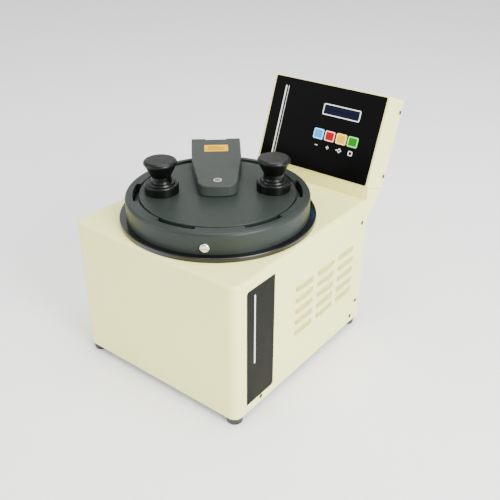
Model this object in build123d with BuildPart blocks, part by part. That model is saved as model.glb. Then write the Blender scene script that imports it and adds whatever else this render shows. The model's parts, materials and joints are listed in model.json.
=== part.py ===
"""Bench-top pressure-curing unit: a sheet-steel housing with a heated pressure vessel sunk in its top.

The vessel is closed by a round lid that hangs from a hinged arm and locks with six lugs under a
bayonet ring. A tilted console with a display and four keys stands at the rear right.
Millimetres. +X is right, -Y is the front, +Z is up. The origin is at the centre of the bottom of
the overall box, on the surface that the feet stand on.
"""
from build123d import *
from math import atan2, cos, hypot, radians, sin, tan
import os

os.makedirs("parts", exist_ok=True)

# ---------------------------------------------------------------- driving dimensions
sheet = 1.5                    # thickness of the folded steel sheets
fit_gap = 0.2                  # gap between folded sheets that nest in each other
slide_gap = 0.3                # gap round a piece that moves in an opening

housing_width = 320.0
housing_depth = 348.0
housing_height = 230.0
corner_radius = 14.0           # upright front corners
edge_radius = 5.0              # bends round the top
tray_rim = 22.0                # upturned rim of the base plate
rear_flange = 22.0             # side flanges of the rear panel

foot_radius = 13.5
foot_height = 12.5
foot_inset = 14.0              # foot centre from the housing's sides

console_width = 222.0
console_height = 147.0         # measured up the tilted panel
console_depth = 55.0
console_tilt = 20.0            # degrees back from upright
console_lap = 7.0              # how far the panel's lower edge is ahead of the housing's rear
console_rise = 22.5            # height of that edge above the housing's top
neck_drop = 41.0               # where the neck leaves the rear face, below the housing's top
riser_set_back = 2.0           # the riser stands this far behind the panel's lower edge
neck_tongue = 10.0             # folded lip that carries the console
seat_screw_inset = 3.5         # from the lip's free edge
seat_gap = 0.8                 # seam between the neck's sides and the console

lid_set_back = 157.0           # lid centre from the housing's front
arm_azimuth = 131.3            # direction from the lid centre to the hinge, from +X
flange_radius = 153.5
flange_height = 7.0
ring_radius = 143.0
ring_height = 32.6
ring_edge = 5.0
groove_radius = 131.0          # inside of the bayonet ring, below and between its lugs
ring_lug_radius = 123.8        # inner face of the ring's lugs
ring_lug_height = 12.6
lug_count = 6
ring_gap_angle = 28.5          # opening between two ring lugs
lid_lug_angle = 24.0
lid_lug_radius = 128.6
lid_lug_height = 12.0
lid_radius = 121.2
lid_proud = 0.4                # lid top above the ring's top
lid_chamfer = 2.0
lid_recess_radius = 100.0
lid_recess_depth = 6.0
seal_inner = 114.0
seal_outer = 119.0
seal_depth = 3.5
seal_squeeze_gap = 0.3         # the seal clears the vessel's rim until the lid is locked

vessel_radius = 112.0          # inside
vessel_wall = 3.0
vessel_depth = 153.0
vessel_floor_radius = 12.0
vessel_rim_height = 6.0
rim_clearance = 1.5            # vessel rim to the underside of the lid

arm_gap = 1.5                  # lid top to the underside of the arm
arm_thickness = 16.0
arm_nose = 22.0                # nose's corners ahead of the lid's centre
arm_nose_half = 29.0
arm_nose_bow = 4.0             # nose's middle ahead of its corners
arm_shoulder = 89.0            # where the nose's taper ends
arm_shoulder_half = 41.5
arm_rear_half = 43.2
arm_draft = 3.0
arm_edge = 2.0
hinge_reach = 174.0            # lid centre to hinge pin
hinge_pin_radius = 4.0
arm_knuckle_radius = 11.5
bracket_knuckle_radius = 8.0
bracket_knuckle_half = 18.0
bracket_post_half = 7.4
pocket_radius = 9.0            # hollow in the arm round the bracket's knuckle
pocket_skin = 2.0              # the arm's skin ends this far ahead of the pin
bush_wall = 2.0
running_gap = 0.04             # radial, shaft in bush

knob_circle = 86.0
knob_height = 52.5
knob_base_radius = 26.5
knob_waist_radius = 15.5
knob_top_radius = 25.8
stud_radius = 4.0

pivot_radius = 5.0
pivot_head_radius = 7.5
pivot_head_height = 8.0

overlay_thickness = 0.6
overlay_side_margin = 4.25
overlay_end_margin = 1.75
overlay_corner = 2.5
controls_x = 33.0              # controls' centre line, right of the console's centre
key_width = 19.5
key_height = 17.7
key_pitch = 21.9
key_rise = 64.7                # key centres up the panel
key_corner = 3.0
key_travel = 1.0
key_proud = 0.8
key_lip = 0.6
display_width = 66.0
display_height = 14.6
display_rise = 106.6
window_rim = 1.5
board_depth = 13.0             # control board behind the panel's face

cover_flange = 18.0            # rim of the console's back cover
cover_screw_inset = 6.0        # from the console's rear edge
cover_screw_ends = 20.0        # from its lower and upper ends

label_width = 63.5
label_height = 197.5
label_front = 25.0             # from the housing's front
label_base = 15.3              # above the housing's lower edge
label_thickness = 0.8
label_corner = 5.0             # rounded at the upper front and lower rear

screw_radius = 1.6
screw_head_radius = 3.4
screw_head_height = 1.3
screw_length = 8.0
screw_reach = 10.0             # depth that the screws' holes are cut to

# feet and base
foot_hole = 2.1
foot_head_radius = 4.0
foot_head_height = 3.0
foot_head_z = 3.0
foot_draft = 6.5
foot_draft_inset = 1.5
foot_edge = 1.5
foot_counterbore_gap = 1.0
foot_thread = 6.0
base_slot_count = 10
base_slot_pitch = 14.0
base_slot_length, base_slot_width = 40.0, 4.0
base_slot_inset = 70.0         # slots' middle from the rear

# housing cover
bolt_count = 8
bolt_radius = 3.0
bolt_head_radius = 5.0
bolt_head_height = 6.0
bolt_reach = 18.0              # thread in the ring
frame_thickness = 3.0
frame_width = 304.0
frame_front = 145.0            # the frame's top plate, ahead of and behind the lid's centre
frame_rear = 170.0
leg_section = 25.0
leg_x = 135.0                  # outer faces of the legs, from the lid's centre
leg_front = 133.0
leg_rear = 160.0
bracket_screw_radius = 2.5
louvre_rows = 5
louvre_columns = 3
louvre_row_pitch = 20.0
louvre_column_pitch = 60.0
louvre_length = 42.0
louvre_slot = 3.0

# rear panel
inlet_width, inlet_height, inlet_depth = 30.0, 62.0, 26.0
port_radius = 6.5
relay_board_width, relay_board_height = 120.0, 70.0
spacer_bore = 1.5
slope_end_gap = 2.0            # slope's end to the console
bend_relief = 3.0              # notch beside the bend
flange_lap = 6.0               # side flanges reach this far above the neck
flange_foot_gap = 2.0          # side flanges stand this far above the tray's rim

# console
cable_slot = 60.0              # opening in the console's floor
console_edge = 1.2
cable_slot_width = 12.0
cable_slot_set_back = 14.0      # from the neck's lip
vent_count, vent_pitch = 6, 8.0
vent_length, vent_width = 90.0, 3.0
vent_rise = 91.0
flange_cut = 188.6             # lower flange left out for the cable

# controls
window_thickness = 2.0
board_thickness = 1.6
switch_size = 6.2
switch_height = 4.0
stem_radius = 2.0
board_width, board_height = 130.0, 108.0
connector_height = 9.0
spacer_radius = 3.0
relay_gap = 10.0               # rear panel to the relay board
spacer_inset = 5.0             # from the boards' edges
spacer_head_radius, spacer_head_height = 2.8, 2.0
connector_width, connector_depth = 28.0, 8.0
chip_size, chip_height, chip_pitch = 14.0, 2.0, 30.0
chip_offset = 18.0
plunger_radius, plunger_height = 1.7, 1.0
window_margin = 3.0            # hidden rim of the window behind the case
window_recess = 0.2            # window below the foil's face
module_margin = 2.5
module_height = 24.0
key_edge = 0.5
key_lip_height = 1.2
key_clearance = 0.1            # stem to the end of the switch's travel

# vessel and its frame
drain_radius = 5.0
insulation_gap = 3.0
insulation_wall = 14.0
heater_wall = 2.5
stop_angle = 171.3             # round the lid from the hinge's side
stop_radius = 3.5
stop_reach = 17.0
stop_head_radius = 7.5
stop_head_height = 4.0
heater_height = 60.0
flange_edge = 1.5
lug_root = 2.0                 # lugs run this far into the ring
screw_slot_width, screw_slot_depth = 1.6, 1.2
stop_dome = 3.2
socket_size, socket_deep = 2.9, 3.0
heater_split = 8.0
heater_ear_height, heater_ear_rise = 30.0, 15.0
jacket_short = 30.0            # jacket's height below the vessel's
jacket_gap = 84.0
sensor_angle_degrees = 12.0

# lid disc
thrust_radius = 14.0
stud_depth = 14.0
stud_in_knob = 20.0
knob_moulding = 15.5           # height of the rounded base
knob_neck = 21.0               # where the waist starts
knob_waist_top = 27.0
knob_shoulder = 45.0           # where the flare ends
lug_edge = 1.0
lug_bite = 4.0                 # lugs run this far into the disc

# hinged arm
knuckle_inset = 1.0            # arm's knuckles inside its skin
knuckle_gap = 0.5              # side play between the arm's knuckles and the bracket's
nut_height = 6.0
nut_flange_radius = 12.0
nut_flange_height = 1.5
caution_width = 40.0
caution_length = 29.0
caution_reach = 131.0
nose_radius = 18.0
nose_bow_radius = 60.0
pin_seat_radius, pin_seat_depth = 8.0, 4.5  # recesses round the pin's ends
shoulder_radius = 40.0
pivot_hex, pivot_hex_depth = 4.8, 5.5
pivot_nut_hex = 9.8
thrust_play = 0.1
caution_thickness = 0.3

# hinge
bracket_plate = 6.0
bracket_front = 156.0          # from the lid's centre
bracket_rear = 192.0
bracket_half = 33.0
pin_head_radius, pin_head_height = 6.5, 3.0
pin_end = 3.5                  # pin beyond its bushes
clip_groove = 0.6
clip_radius = 7.0
bracket_head_radius, bracket_head_height = 4.4, 4.0
bracket_hex, bracket_hex_depth = 2.3, 2.5
bracket_thread = 4.0

# mains parts
inlet_flange = 3.0
socket_width, socket_height, socket_depth = 24.6, 17.0, 17.0
rocker_width, rocker_half, rocker_lean = 18.8, 7.0, 8.0
rocker_axle = 1.2
bay_half = 8.6
supply_width, supply_depth, supply_height = 60.0, 40.0, 92.0
relay_connector_rise = 20.0    # above the relay board's centre
ribbon_width, ribbon_thickness = 24.0, 1.2
inlet_lip_x, inlet_lip_z = 4.0, 3.0
fuse_width, fuse_height, fuse_depth = 22.0, 9.0, 18.0
fuse_lip = 1.0
bay_depth = 14.0
relay_width, relay_length, relay_height, relay_pitch = 15.0, 19.0, 15.0, 20.0

# air parts
nipple_radius = 4.0
nipple_length = 16.0
regulator_size = 40.0
regulator_height = 50.0
regulator_front = 12.0         # from the rear panel's outer face
manifold_length, manifold_size = 80.0, 25.0
hose_radius = 3.0
port_drop = 18.0
lead_radius = 2.0
nipple_bore = 2.0
fitting_hex, fitting_height = 10.0, 8.0
valve_base_height, valve_coil_height = 14.0, 30.0
valve_pitch = 26.0
silencer_radius, silencer_length = 7.5, 20.0
silencer_hex, silencer_hex_height = 9.5, 6.0

# ---------------------------------------------------------------- derived places
tilt = radians(console_tilt)
total_depth = housing_depth - console_lap + console_height * sin(tilt) + console_depth * cos(tilt)
front_y = -total_depth / 2
rear_y = front_y + housing_depth
base_z = foot_height
top_z = base_z + housing_height
half_width = housing_width / 2
lid_y = front_y + lid_set_back

console_x = half_width - console_width / 2
console_left = half_width - console_width
console_y = rear_y - console_lap
console_z = top_z + console_rise
riser_y = console_y + riser_set_back
neck_z = top_z - neck_drop

flange_z = top_z + flange_height
ring_top = flange_z + ring_height
rim_top = flange_z + vessel_rim_height
lid_base = rim_top + rim_clearance
lid_top = ring_top + lid_proud
arm_base = lid_top + arm_gap
arm_top = arm_base + arm_thickness
hinge_z = arm_top - arm_knuckle_radius
vessel_outer = vessel_radius + vessel_wall
vessel_base = rim_top - vessel_depth

arm_angle = radians(arm_azimuth)
lid_plane = Plane(origin=(0, lid_y, 0), x_dir=(cos(arm_angle), sin(arm_angle), 0), z_dir=(0, 0, 1))
lid_section = Plane(origin=(0, lid_y, 0), x_dir=(1, 0, 0), z_dir=(0, -1, 0))
lid_axis = Axis((0, lid_y, 0), (0, 0, 1))
hinge_plane = Plane(
    origin=lid_plane.from_local_coords((hinge_reach, 0, hinge_z)),
    x_dir=(cos(arm_angle), sin(arm_angle), 0),
    z_dir=(sin(arm_angle), -cos(arm_angle), 0),
)
rear_face = Plane(origin=(0, rear_y, 0), x_dir=(-1, 0, 0), z_dir=(0, 1, 0))
panel = Plane(
    origin=(console_x, console_y, console_z), x_dir=(1, 0, 0), z_dir=(0, -cos(tilt), sin(tilt))
)
lip_seat = Plane(
    origin=(console_x, console_y, console_z), x_dir=(1, 0, 0), z_dir=(0, sin(tilt), cos(tilt))
)
lip_front = riser_set_back / cos(tilt)
seat_screw_spots = [(dx, lip_front + neck_tongue - seat_screw_inset) for dx in (-85, 0, 85)]


def finish(piece, name):
    """Name a finished piece and write its STEP file."""
    piece.part.label = name
    export_step(piece.part, f"parts/{name}.step")


def side_plane(side):
    """Face of the housing's left (-1) or right (+1) side: local x is side * Y, local y is Z."""
    return Plane(origin=(side * half_width, 0, 0), x_dir=(0, side, 0), z_dir=(side, 0, 0))


def console_side(side):
    """Face of the console's left (-1) or right (+1) side.

    Local x is side * the distance up the panel, local y is minus the depth behind its face.
    """
    return Plane(
        origin=panel.from_local_coords((side * console_width / 2, 0, 0)),
        x_dir=(0, side * sin(tilt), side * cos(tilt)),
        z_dir=(side, 0, 0),
    )


def console_screw_spots(side):
    """Places of the two screws in one side of the console, on its console_side plane."""
    rises = (cover_screw_ends, console_height - cover_screw_ends)
    return [(side * rise, cover_screw_inset - console_depth) for rise in rises]


def ring_sector(inner, outer, middle, width):
    """Slice of a ring as a sketch, from its radii, middle angle and width in degrees."""
    with BuildSketch() as sector:
        with BuildLine():
            outside = CenterArc((0, 0), outer, middle - width / 2, width)
            inside = CenterArc((0, 0), inner, middle - width / 2, width)
            Line(outside @ 0, inside @ 0)
            Line(outside @ 1, inside @ 1)
        make_face()
    return sector.sketch


# ---------------------------------------------------------------- feet and base
foot_spots = [
    (side * (half_width - foot_inset), depth)
    for side in (-1, 1)
    for depth in (front_y + foot_inset, rear_y - foot_inset)
]

with BuildPart() as rubber_feet:
    with BuildSketch(Plane.XY):
        with Locations(*foot_spots):
            Circle(foot_radius - foot_draft_inset)
    extrude(amount=foot_height, taper=-foot_draft)
    fillet(rubber_feet.edges().group_by(Axis.Z)[0], foot_edge)
    with BuildSketch(Plane.XY):
        with Locations(*foot_spots):
            Circle(foot_head_radius + foot_counterbore_gap)
    extrude(amount=foot_head_z + foot_head_height, mode=Mode.SUBTRACT)
    with BuildSketch(Plane.XY):
        with Locations(*foot_spots):
            Circle(foot_hole)
    extrude(amount=foot_height, mode=Mode.SUBTRACT)
finish(rubber_feet, "rubber_feet")

with BuildPart() as foot_screws:
    with BuildSketch(Plane.XY.offset(foot_head_z)):
        with Locations(*foot_spots):
            Circle(foot_head_radius)
    extrude(amount=foot_head_height)
    with BuildSketch(Plane.XY.offset(foot_head_z)):
        with Locations(*foot_spots):
            Circle(foot_hole)
    extrude(amount=foot_height - foot_head_z + sheet + foot_thread)
finish(foot_screws, "foot_screws")

tray_half = half_width - sheet - fit_gap
tray_front = front_y + sheet + fit_gap
tray_rear = rear_y - sheet - fit_gap
tray_y = (tray_front + tray_rear) / 2
tray_screws = [(front_y + 59, base_z + 10), (rear_y - 29, base_z + 13)]
rear_screws = [(rear_y - 14, base_z + 38.5), (rear_y - 14, base_z + 192)]
side_screws = tray_screws + rear_screws

with BuildPart() as base_plate:
    with BuildSketch(Plane.XY.offset(base_z)) as tray_outline:
        with Locations((0, tray_y)):
            Rectangle(2 * tray_half, tray_rear - tray_front)
        fillet(tray_outline.vertices().group_by(Axis.Y)[0], corner_radius - sheet - fit_gap)
    extrude(amount=tray_rim)
    with BuildSketch(Plane.XY.offset(base_z + sheet)) as tray_hollow:
        with Locations((0, tray_y)):
            Rectangle(2 * (tray_half - sheet), tray_rear - tray_front - 2 * sheet)
        fillet(tray_hollow.vertices().group_by(Axis.Y)[0], corner_radius - 2 * sheet - fit_gap)
    extrude(amount=tray_rim, mode=Mode.SUBTRACT)
    with BuildSketch(Plane.XY.offset(base_z)):
        with Locations(*foot_spots):
            Circle(foot_hole)
    extrude(amount=sheet, mode=Mode.SUBTRACT)
    # air slots under the electronics
    with BuildSketch(Plane.XY.offset(base_z)):
        with Locations((0, rear_y - base_slot_inset)):
            with GridLocations(base_slot_pitch, 1, base_slot_count, 1):
                SlotOverall(base_slot_length, base_slot_width, rotation=90)
    extrude(amount=sheet, mode=Mode.SUBTRACT)
    for side in (-1, 1):
        with BuildSketch(side_plane(side)):
            with Locations(*[(side * y, z) for y, z in tray_screws]):
                Circle(screw_radius)
        extrude(amount=-screw_reach, mode=Mode.SUBTRACT)
finish(base_plate, "base_plate")

# ---------------------------------------------------------------- housing cover
bolt_circle = (ring_radius + groove_radius) / 2
cover_opening = vessel_outer + 1.5
bracket_screw_spots = [(hinge_reach + dx, dy) for dx in (-8, 12) for dy in (-25, 25)]
louvre_middle = (front_y + 228, base_z + 113)

with BuildPart() as cover_core:
    with BuildSketch(Plane.XY.offset(base_z)) as cover_hollow:
        with Locations((0, (front_y + rear_y + sheet) / 2)):
            Rectangle(housing_width - 2 * sheet, housing_depth - sheet)
        fillet(cover_hollow.vertices().group_by(Axis.Y)[0], corner_radius - sheet)
    extrude(amount=housing_height - sheet)
    core_edges = cover_core.edges().group_by(Axis.Z)[-1]
    fillet(core_edges.filter_by(lambda edge: edge.center().Y < rear_y - 1), edge_radius - sheet)

with BuildPart() as housing_cover:
    with BuildSketch(Plane.XY.offset(base_z)) as cover_outline:
        with Locations((0, (front_y + rear_y) / 2)):
            Rectangle(housing_width, housing_depth)
        fillet(cover_outline.vertices().group_by(Axis.Y)[0], corner_radius)
    extrude(amount=housing_height)
    top_edges = housing_cover.edges().group_by(Axis.Z)[-1]
    fillet(top_edges.filter_by(lambda edge: edge.center().Y < rear_y - 1), edge_radius)
    with BuildSketch(Plane.YZ.offset(console_left)):
        Polygon(
            (riser_y, neck_z),
            (riser_y, console_z - riser_set_back * tan(tilt) - seat_gap),
            (console_y + console_depth * cos(tilt), console_z - console_depth * sin(tilt) - seat_gap),
            (rear_y, neck_z),
            align=None,
        )
    extrude(amount=console_width)
    # the main box is hollow, open below and behind
    add(cover_core.part, mode=Mode.SUBTRACT)
    # hollow of the neck, open to the console and behind
    seat_back = console_y + console_depth * cos(tilt) + 1
    with BuildSketch(Plane.YZ.offset(console_left + sheet)):
        Polygon(
            (riser_y + sheet, neck_z - 1),
            (riser_y + sheet, console_z + 1),
            (seat_back, console_z + 1),
            (seat_back, neck_z - 1),
            align=None,
        )
    extrude(amount=console_width - 2 * sheet, mode=Mode.SUBTRACT)
    # lip folded back from the riser to carry the console
    with BuildSketch(lip_seat):
        with Locations((0, lip_front + neck_tongue / 2)):
            Rectangle(console_width - 2 * sheet - 2 * fit_gap, neck_tongue)
    extrude(amount=-sheet)
    with BuildSketch(lip_seat):
        with Locations(*seat_screw_spots):
            Circle(screw_radius)
    extrude(amount=-sheet, mode=Mode.SUBTRACT)
    # opening for the vessel, bolt holes and hinge screws
    with BuildSketch(lid_plane.offset(top_z - sheet)):
        Circle(cover_opening)
        with PolarLocations(bolt_circle, bolt_count):
            Circle(bolt_radius)
        with Locations(*bracket_screw_spots):
            Circle(bracket_screw_radius)
    extrude(amount=sheet, mode=Mode.SUBTRACT)
    for side in (-1, 1):
        with BuildSketch(side_plane(side)):
            with Locations(*[(side * y, z) for y, z in side_screws]):
                Circle(screw_radius)
            with Locations((side * louvre_middle[0], louvre_middle[1])):
                with GridLocations(louvre_column_pitch, louvre_row_pitch, louvre_columns, louvre_rows):
                    SlotOverall(louvre_length, louvre_slot)
        extrude(amount=-sheet, mode=Mode.SUBTRACT)
finish(housing_cover, "housing_cover")

# ---------------------------------------------------------------- rear panel
panel_half = half_width - sheet - fit_gap
inlet_x, inlet_z = -118.0, base_z + 70
air_inlet_x, air_inlet_z = 0.0, base_z + 48
vent_x, vent_z = 136.0, base_z + 48
relay_board_x, relay_board_z = 20.0, base_z + 140
relay_spacer_x = relay_board_width / 2 - spacer_inset
relay_spacer_z = relay_board_height / 2 - spacer_inset
relay_spacers = [
    (relay_board_x + sx * relay_spacer_x, relay_board_z + sz * relay_spacer_z)
    for sx in (-1, 1)
    for sz in (-1, 1)
]
neck_run = console_y + console_depth * cos(tilt) - rear_y
neck_rise = console_z - console_depth * sin(tilt) - neck_z
neck_slope = hypot(neck_run, neck_rise)
neck_inner = console_left + sheet + fit_gap

with BuildPart() as rear_panel:
    # upright sheet, cut away beside the neck
    with BuildSketch(rear_face) as upright:
        with Locations(((panel_half - neck_inner) / 2, (base_z + top_z) / 2)):
            Rectangle(neck_inner + panel_half, housing_height - 2 * (sheet + fit_gap))
        with Locations((-(neck_inner + panel_half) / 2, (base_z + sheet + fit_gap + neck_z) / 2)):
            Rectangle(panel_half - neck_inner, neck_z - base_z - sheet - fit_gap)
        upper_left = upright.vertices().sort_by_distance((panel_half, top_z))[0]
        fillet(upper_left, edge_radius - sheet)
    extrude(amount=-sheet)
    # sloping sheet behind the neck, bent out from the upright one
    half_bend = atan2(neck_run, neck_rise) / 2
    slope = Plane(origin=(0, rear_y, neck_z), x_dir=(0, neck_run, neck_rise), z_dir=(1, 0, 0))
    outer_end = slope.from_local_coords((neck_slope - slope_end_gap, 0))
    inner_end = slope.from_local_coords((neck_slope - slope_end_gap, sheet))
    with BuildSketch(Plane.YZ.offset(neck_inner + bend_relief)):
        Polygon(
            (rear_y, neck_z - rear_flange),
            (rear_y, neck_z),
            (outer_end.Y, outer_end.Z),
            (inner_end.Y, inner_end.Z),
            (rear_y - sheet, neck_z + sheet * tan(half_bend)),
            (rear_y - sheet, neck_z - rear_flange),
            align=None,
        )
    extrude(amount=panel_half - neck_inner - bend_relief)
    # side flanges for the screws
    for side in (-1, 1):
        with BuildSketch(Plane.XY.offset(base_z + tray_rim + flange_foot_gap)):
            with Locations((side * (panel_half - sheet / 2), rear_y - rear_flange / 2)):
                Rectangle(sheet, rear_flange)
        extrude(amount=neck_z + flange_lap - base_z - tray_rim - flange_foot_gap)
        with BuildSketch(side_plane(side)):
            with Locations(*[(side * y, z) for y, z in rear_screws]):
                Circle(screw_radius)
        extrude(amount=-screw_reach, mode=Mode.SUBTRACT)
    with BuildSketch(rear_face):
        with Locations((-inlet_x, inlet_z)):
            Rectangle(inlet_width, inlet_height)
        with Locations((-air_inlet_x, air_inlet_z), (-vent_x, vent_z)):
            Circle(port_radius)
        with Locations(*[(-x, z) for x, z in relay_spacers]):
            Circle(spacer_bore)
    extrude(amount=-sheet, mode=Mode.SUBTRACT)
finish(rear_panel, "rear_panel")

with BuildPart() as side_label_plate:
    label_middle = front_y + label_front + label_width / 2
    with BuildSketch(side_plane(1)) as label_outline:
        with Locations((label_middle, base_z + label_base + label_height / 2)):
            Rectangle(label_width, label_height)
        fillet(label_outline.vertices().group_by(Axis.X)[0].sort_by(Axis.Y)[-1], label_corner)
        fillet(label_outline.vertices().group_by(Axis.X)[-1].sort_by(Axis.Y)[0], label_corner)
    extrude(amount=label_thickness)
finish(side_label_plate, "side_label_plate")

# ---------------------------------------------------------------- console
console_half = console_width / 2
overlay_width = console_width - 2 * overlay_side_margin
overlay_height = console_height - 2 * overlay_end_margin
key_spots = [(controls_x + (i - 1.5) * key_pitch, key_rise) for i in range(4)]
display_spot = (controls_x, display_rise)
key_hole_width = key_width + 2 * slide_gap
key_hole_height = key_height + 2 * slide_gap

with BuildPart() as console_case:
    with BuildSketch(panel):
        with Locations((0, console_height / 2)):
            Rectangle(console_width, console_height)
    extrude(amount=-console_depth)
    front_edges = console_case.edges().filter_by(
        lambda edge: abs(panel.to_local_coords(edge.center()).Z) < 0.01
    )
    fillet(front_edges, console_edge)
    with BuildSketch(panel.offset(-sheet)):
        with Locations((0, console_height / 2)):
            Rectangle(console_width - 2 * sheet, console_height - 2 * sheet)
    extrude(amount=-console_depth, mode=Mode.SUBTRACT)
    with BuildSketch(panel):
        with Locations(*key_spots):
            RectangleRounded(key_hole_width, key_hole_height, key_corner)
        with Locations(display_spot):
            Rectangle(display_width, display_height)
    extrude(amount=-sheet, mode=Mode.SUBTRACT)
    # floor: opening for the cable and holes for the seat screws
    with BuildSketch(lip_seat):
        with Locations((0, lip_front + neck_tongue + cable_slot_set_back)):
            Rectangle(cable_slot, cable_slot_width)
        with Locations(*seat_screw_spots):
            Circle(screw_radius)
    extrude(amount=sheet, mode=Mode.SUBTRACT)
    for side in (-1, 1):
        with BuildSketch(console_side(side)):
            with Locations(*console_screw_spots(side)):
                Circle(screw_radius)
        extrude(amount=-sheet, mode=Mode.SUBTRACT)
finish(console_case, "console_case")

cover_width = console_width - 2 * (sheet + fit_gap)
cover_height = console_height - 2 * (sheet + fit_gap)

with BuildPart() as console_back_cover:
    with BuildSketch(panel.offset(-console_depth)):
        with Locations((0, console_height / 2)):
            Rectangle(cover_width, cover_height)
    extrude(amount=cover_flange)
    with BuildSketch(panel.offset(-console_depth + sheet)):
        with Locations((0, console_height / 2)):
            Rectangle(cover_width - 2 * sheet, cover_height - 2 * sheet)
    extrude(amount=cover_flange, mode=Mode.SUBTRACT)
    with BuildSketch(panel.offset(-console_depth)):
        with Locations((0, vent_rise)):
            with GridLocations(1, vent_pitch, 1, vent_count):
                SlotOverall(vent_length, vent_width)
    extrude(amount=sheet, mode=Mode.SUBTRACT)
    # lower flange cut back so that the console's floor stays open for the cable
    with BuildSketch(panel.offset(-console_depth + sheet)):
        with Locations((0, sheet + fit_gap + sheet / 2)):
            Rectangle(flange_cut, sheet)
    extrude(amount=cover_flange, mode=Mode.SUBTRACT)
    for side in (-1, 1):
        with BuildSketch(console_side(side)):
            with Locations(*console_screw_spots(side)):
                Circle(screw_radius)
        extrude(amount=-screw_reach, mode=Mode.SUBTRACT)
finish(console_back_cover, "console_back_cover")

with BuildPart() as casing_screws:
    screw_faces = [(lip_seat.offset(sheet), seat_screw_spots)]
    for side in (-1, 1):
        screw_faces.append((side_plane(side), [(side * y, z) for y, z in side_screws]))
        screw_faces.append((console_side(side), console_screw_spots(side)))
    for face, spots in screw_faces:
        for radius, amount in ((screw_head_radius, screw_head_height), (screw_radius, -screw_length)):
            with BuildSketch(face):
                with Locations(*spots):
                    Circle(radius)
            extrude(amount=amount)
finish(casing_screws, "casing_screws")

# ---------------------------------------------------------------- controls
board_spot = (controls_x, (key_rise + display_rise) / 2)
connector_spot = (board_spot[0] - 20, board_spot[1] - 30)
spacer_spots = [
    (board_spot[0] + sx * (board_width / 2 - spacer_inset),
     board_spot[1] + sy * (board_height / 2 - spacer_inset))
    for sx in (-1, 1)
    for sy in (-1, 1)
]
key_back = -sheet - slide_gap          # front of the key's retaining lip, behind the case
stem_end = -board_depth + switch_height + key_travel + key_clearance

with BuildPart() as control_overlay:
    with BuildSketch(panel):
        with Locations((0, console_height / 2)):
            RectangleRounded(overlay_width, overlay_height, overlay_corner)
        with Locations(*key_spots):
            RectangleRounded(key_hole_width, key_hole_height, key_corner, mode=Mode.SUBTRACT)
        with Locations(display_spot):
            Rectangle(display_width, display_height, mode=Mode.SUBTRACT)
    extrude(amount=overlay_thickness)
finish(control_overlay, "control_overlay")

with BuildPart() as display_window:
    with BuildSketch(panel.offset(-window_thickness - sheet)):
        with Locations(display_spot):
            Rectangle(display_width + 2 * window_margin, display_height + 2 * window_margin)
    extrude(amount=window_thickness)
    with BuildSketch(panel.offset(-sheet)):
        with Locations(display_spot):
            Rectangle(display_width, display_height)
    extrude(amount=sheet + overlay_thickness - window_recess)
finish(display_window, "display_window")

display_back = -sheet - window_thickness
with BuildPart() as display_module:
    with BuildSketch(panel.offset(display_back)):
        with Locations(display_spot):
            Rectangle(display_width + 2 * module_margin, module_height)
    extrude(amount=-(board_depth + display_back))
finish(display_module, "display_module")

with BuildPart() as control_board:
    with BuildSketch(panel.offset(-board_depth)):
        with Locations(board_spot):
            Rectangle(board_width, board_height)
        with Locations(*spacer_spots):
            Circle(spacer_bore, mode=Mode.SUBTRACT)
    extrude(amount=-board_thickness)
    # cable connector and two chips on the back
    with BuildSketch(panel.offset(-board_depth - board_thickness)):
        with Locations(connector_spot):
            Rectangle(connector_width, connector_depth)
    extrude(amount=-connector_height)
    with BuildSketch(panel.offset(-board_depth - board_thickness)):
        with Locations((board_spot[0] + chip_offset, board_spot[1])):
            with GridLocations(chip_pitch, 1, 2, 1):
                Rectangle(chip_size, chip_size)
    extrude(amount=-chip_height)
finish(control_board, "control_board")

with BuildPart() as key_switches:
    with BuildSketch(panel.offset(-board_depth)):
        with Locations(*key_spots):
            Rectangle(switch_size, switch_size)
    extrude(amount=switch_height - plunger_height)
    with BuildSketch(panel.offset(-board_depth)):
        with Locations(*key_spots):
            Circle(plunger_radius)
    extrude(amount=switch_height)
finish(key_switches, "key_switches")

with BuildPart() as board_spacers:
    relay_spots = [(-x, z) for x, z in relay_spacers]
    for face, spots, gap in ((panel.offset(-sheet), spacer_spots, board_depth - sheet),
                             (rear_face.offset(-sheet), relay_spots, relay_gap)):
        for level, radius, amount in ((0, spacer_radius, gap), (gap, spacer_bore, board_thickness),
                                      (gap + board_thickness, spacer_head_radius,
                                       spacer_head_height)):
            with BuildSketch(face.offset(-level)):
                with Locations(*spots):
                    Circle(radius)
            extrude(amount=-amount)
finish(board_spacers, "board_spacers")

key_face = overlay_thickness + key_proud
for key_name, key_spot in zip(("minus_key", "plus_key", "start_key", "stop_key"), key_spots):
    with BuildPart() as key:
        with BuildSketch(panel.offset(key_back)):
            with Locations(key_spot):
                RectangleRounded(key_width, key_height, key_corner - slide_gap)
        extrude(amount=key_face - key_back)
        fillet(key.faces().sort_by(Axis(panel.origin, panel.z_dir))[-1].edges(), key_edge)
        with BuildSketch(panel.offset(key_back)):
            with Locations(key_spot):
                Rectangle(key_hole_width + 2 * key_lip, key_hole_height + 2 * key_lip)
        extrude(amount=-key_lip_height)
        with BuildSketch(panel.offset(key_back - key_lip_height)):
            with Locations(key_spot):
                Circle(stem_radius)
        extrude(amount=stem_end - key_back + key_lip_height)
    finish(key, key_name)

# ---------------------------------------------------------------- vessel and its frame

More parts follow.
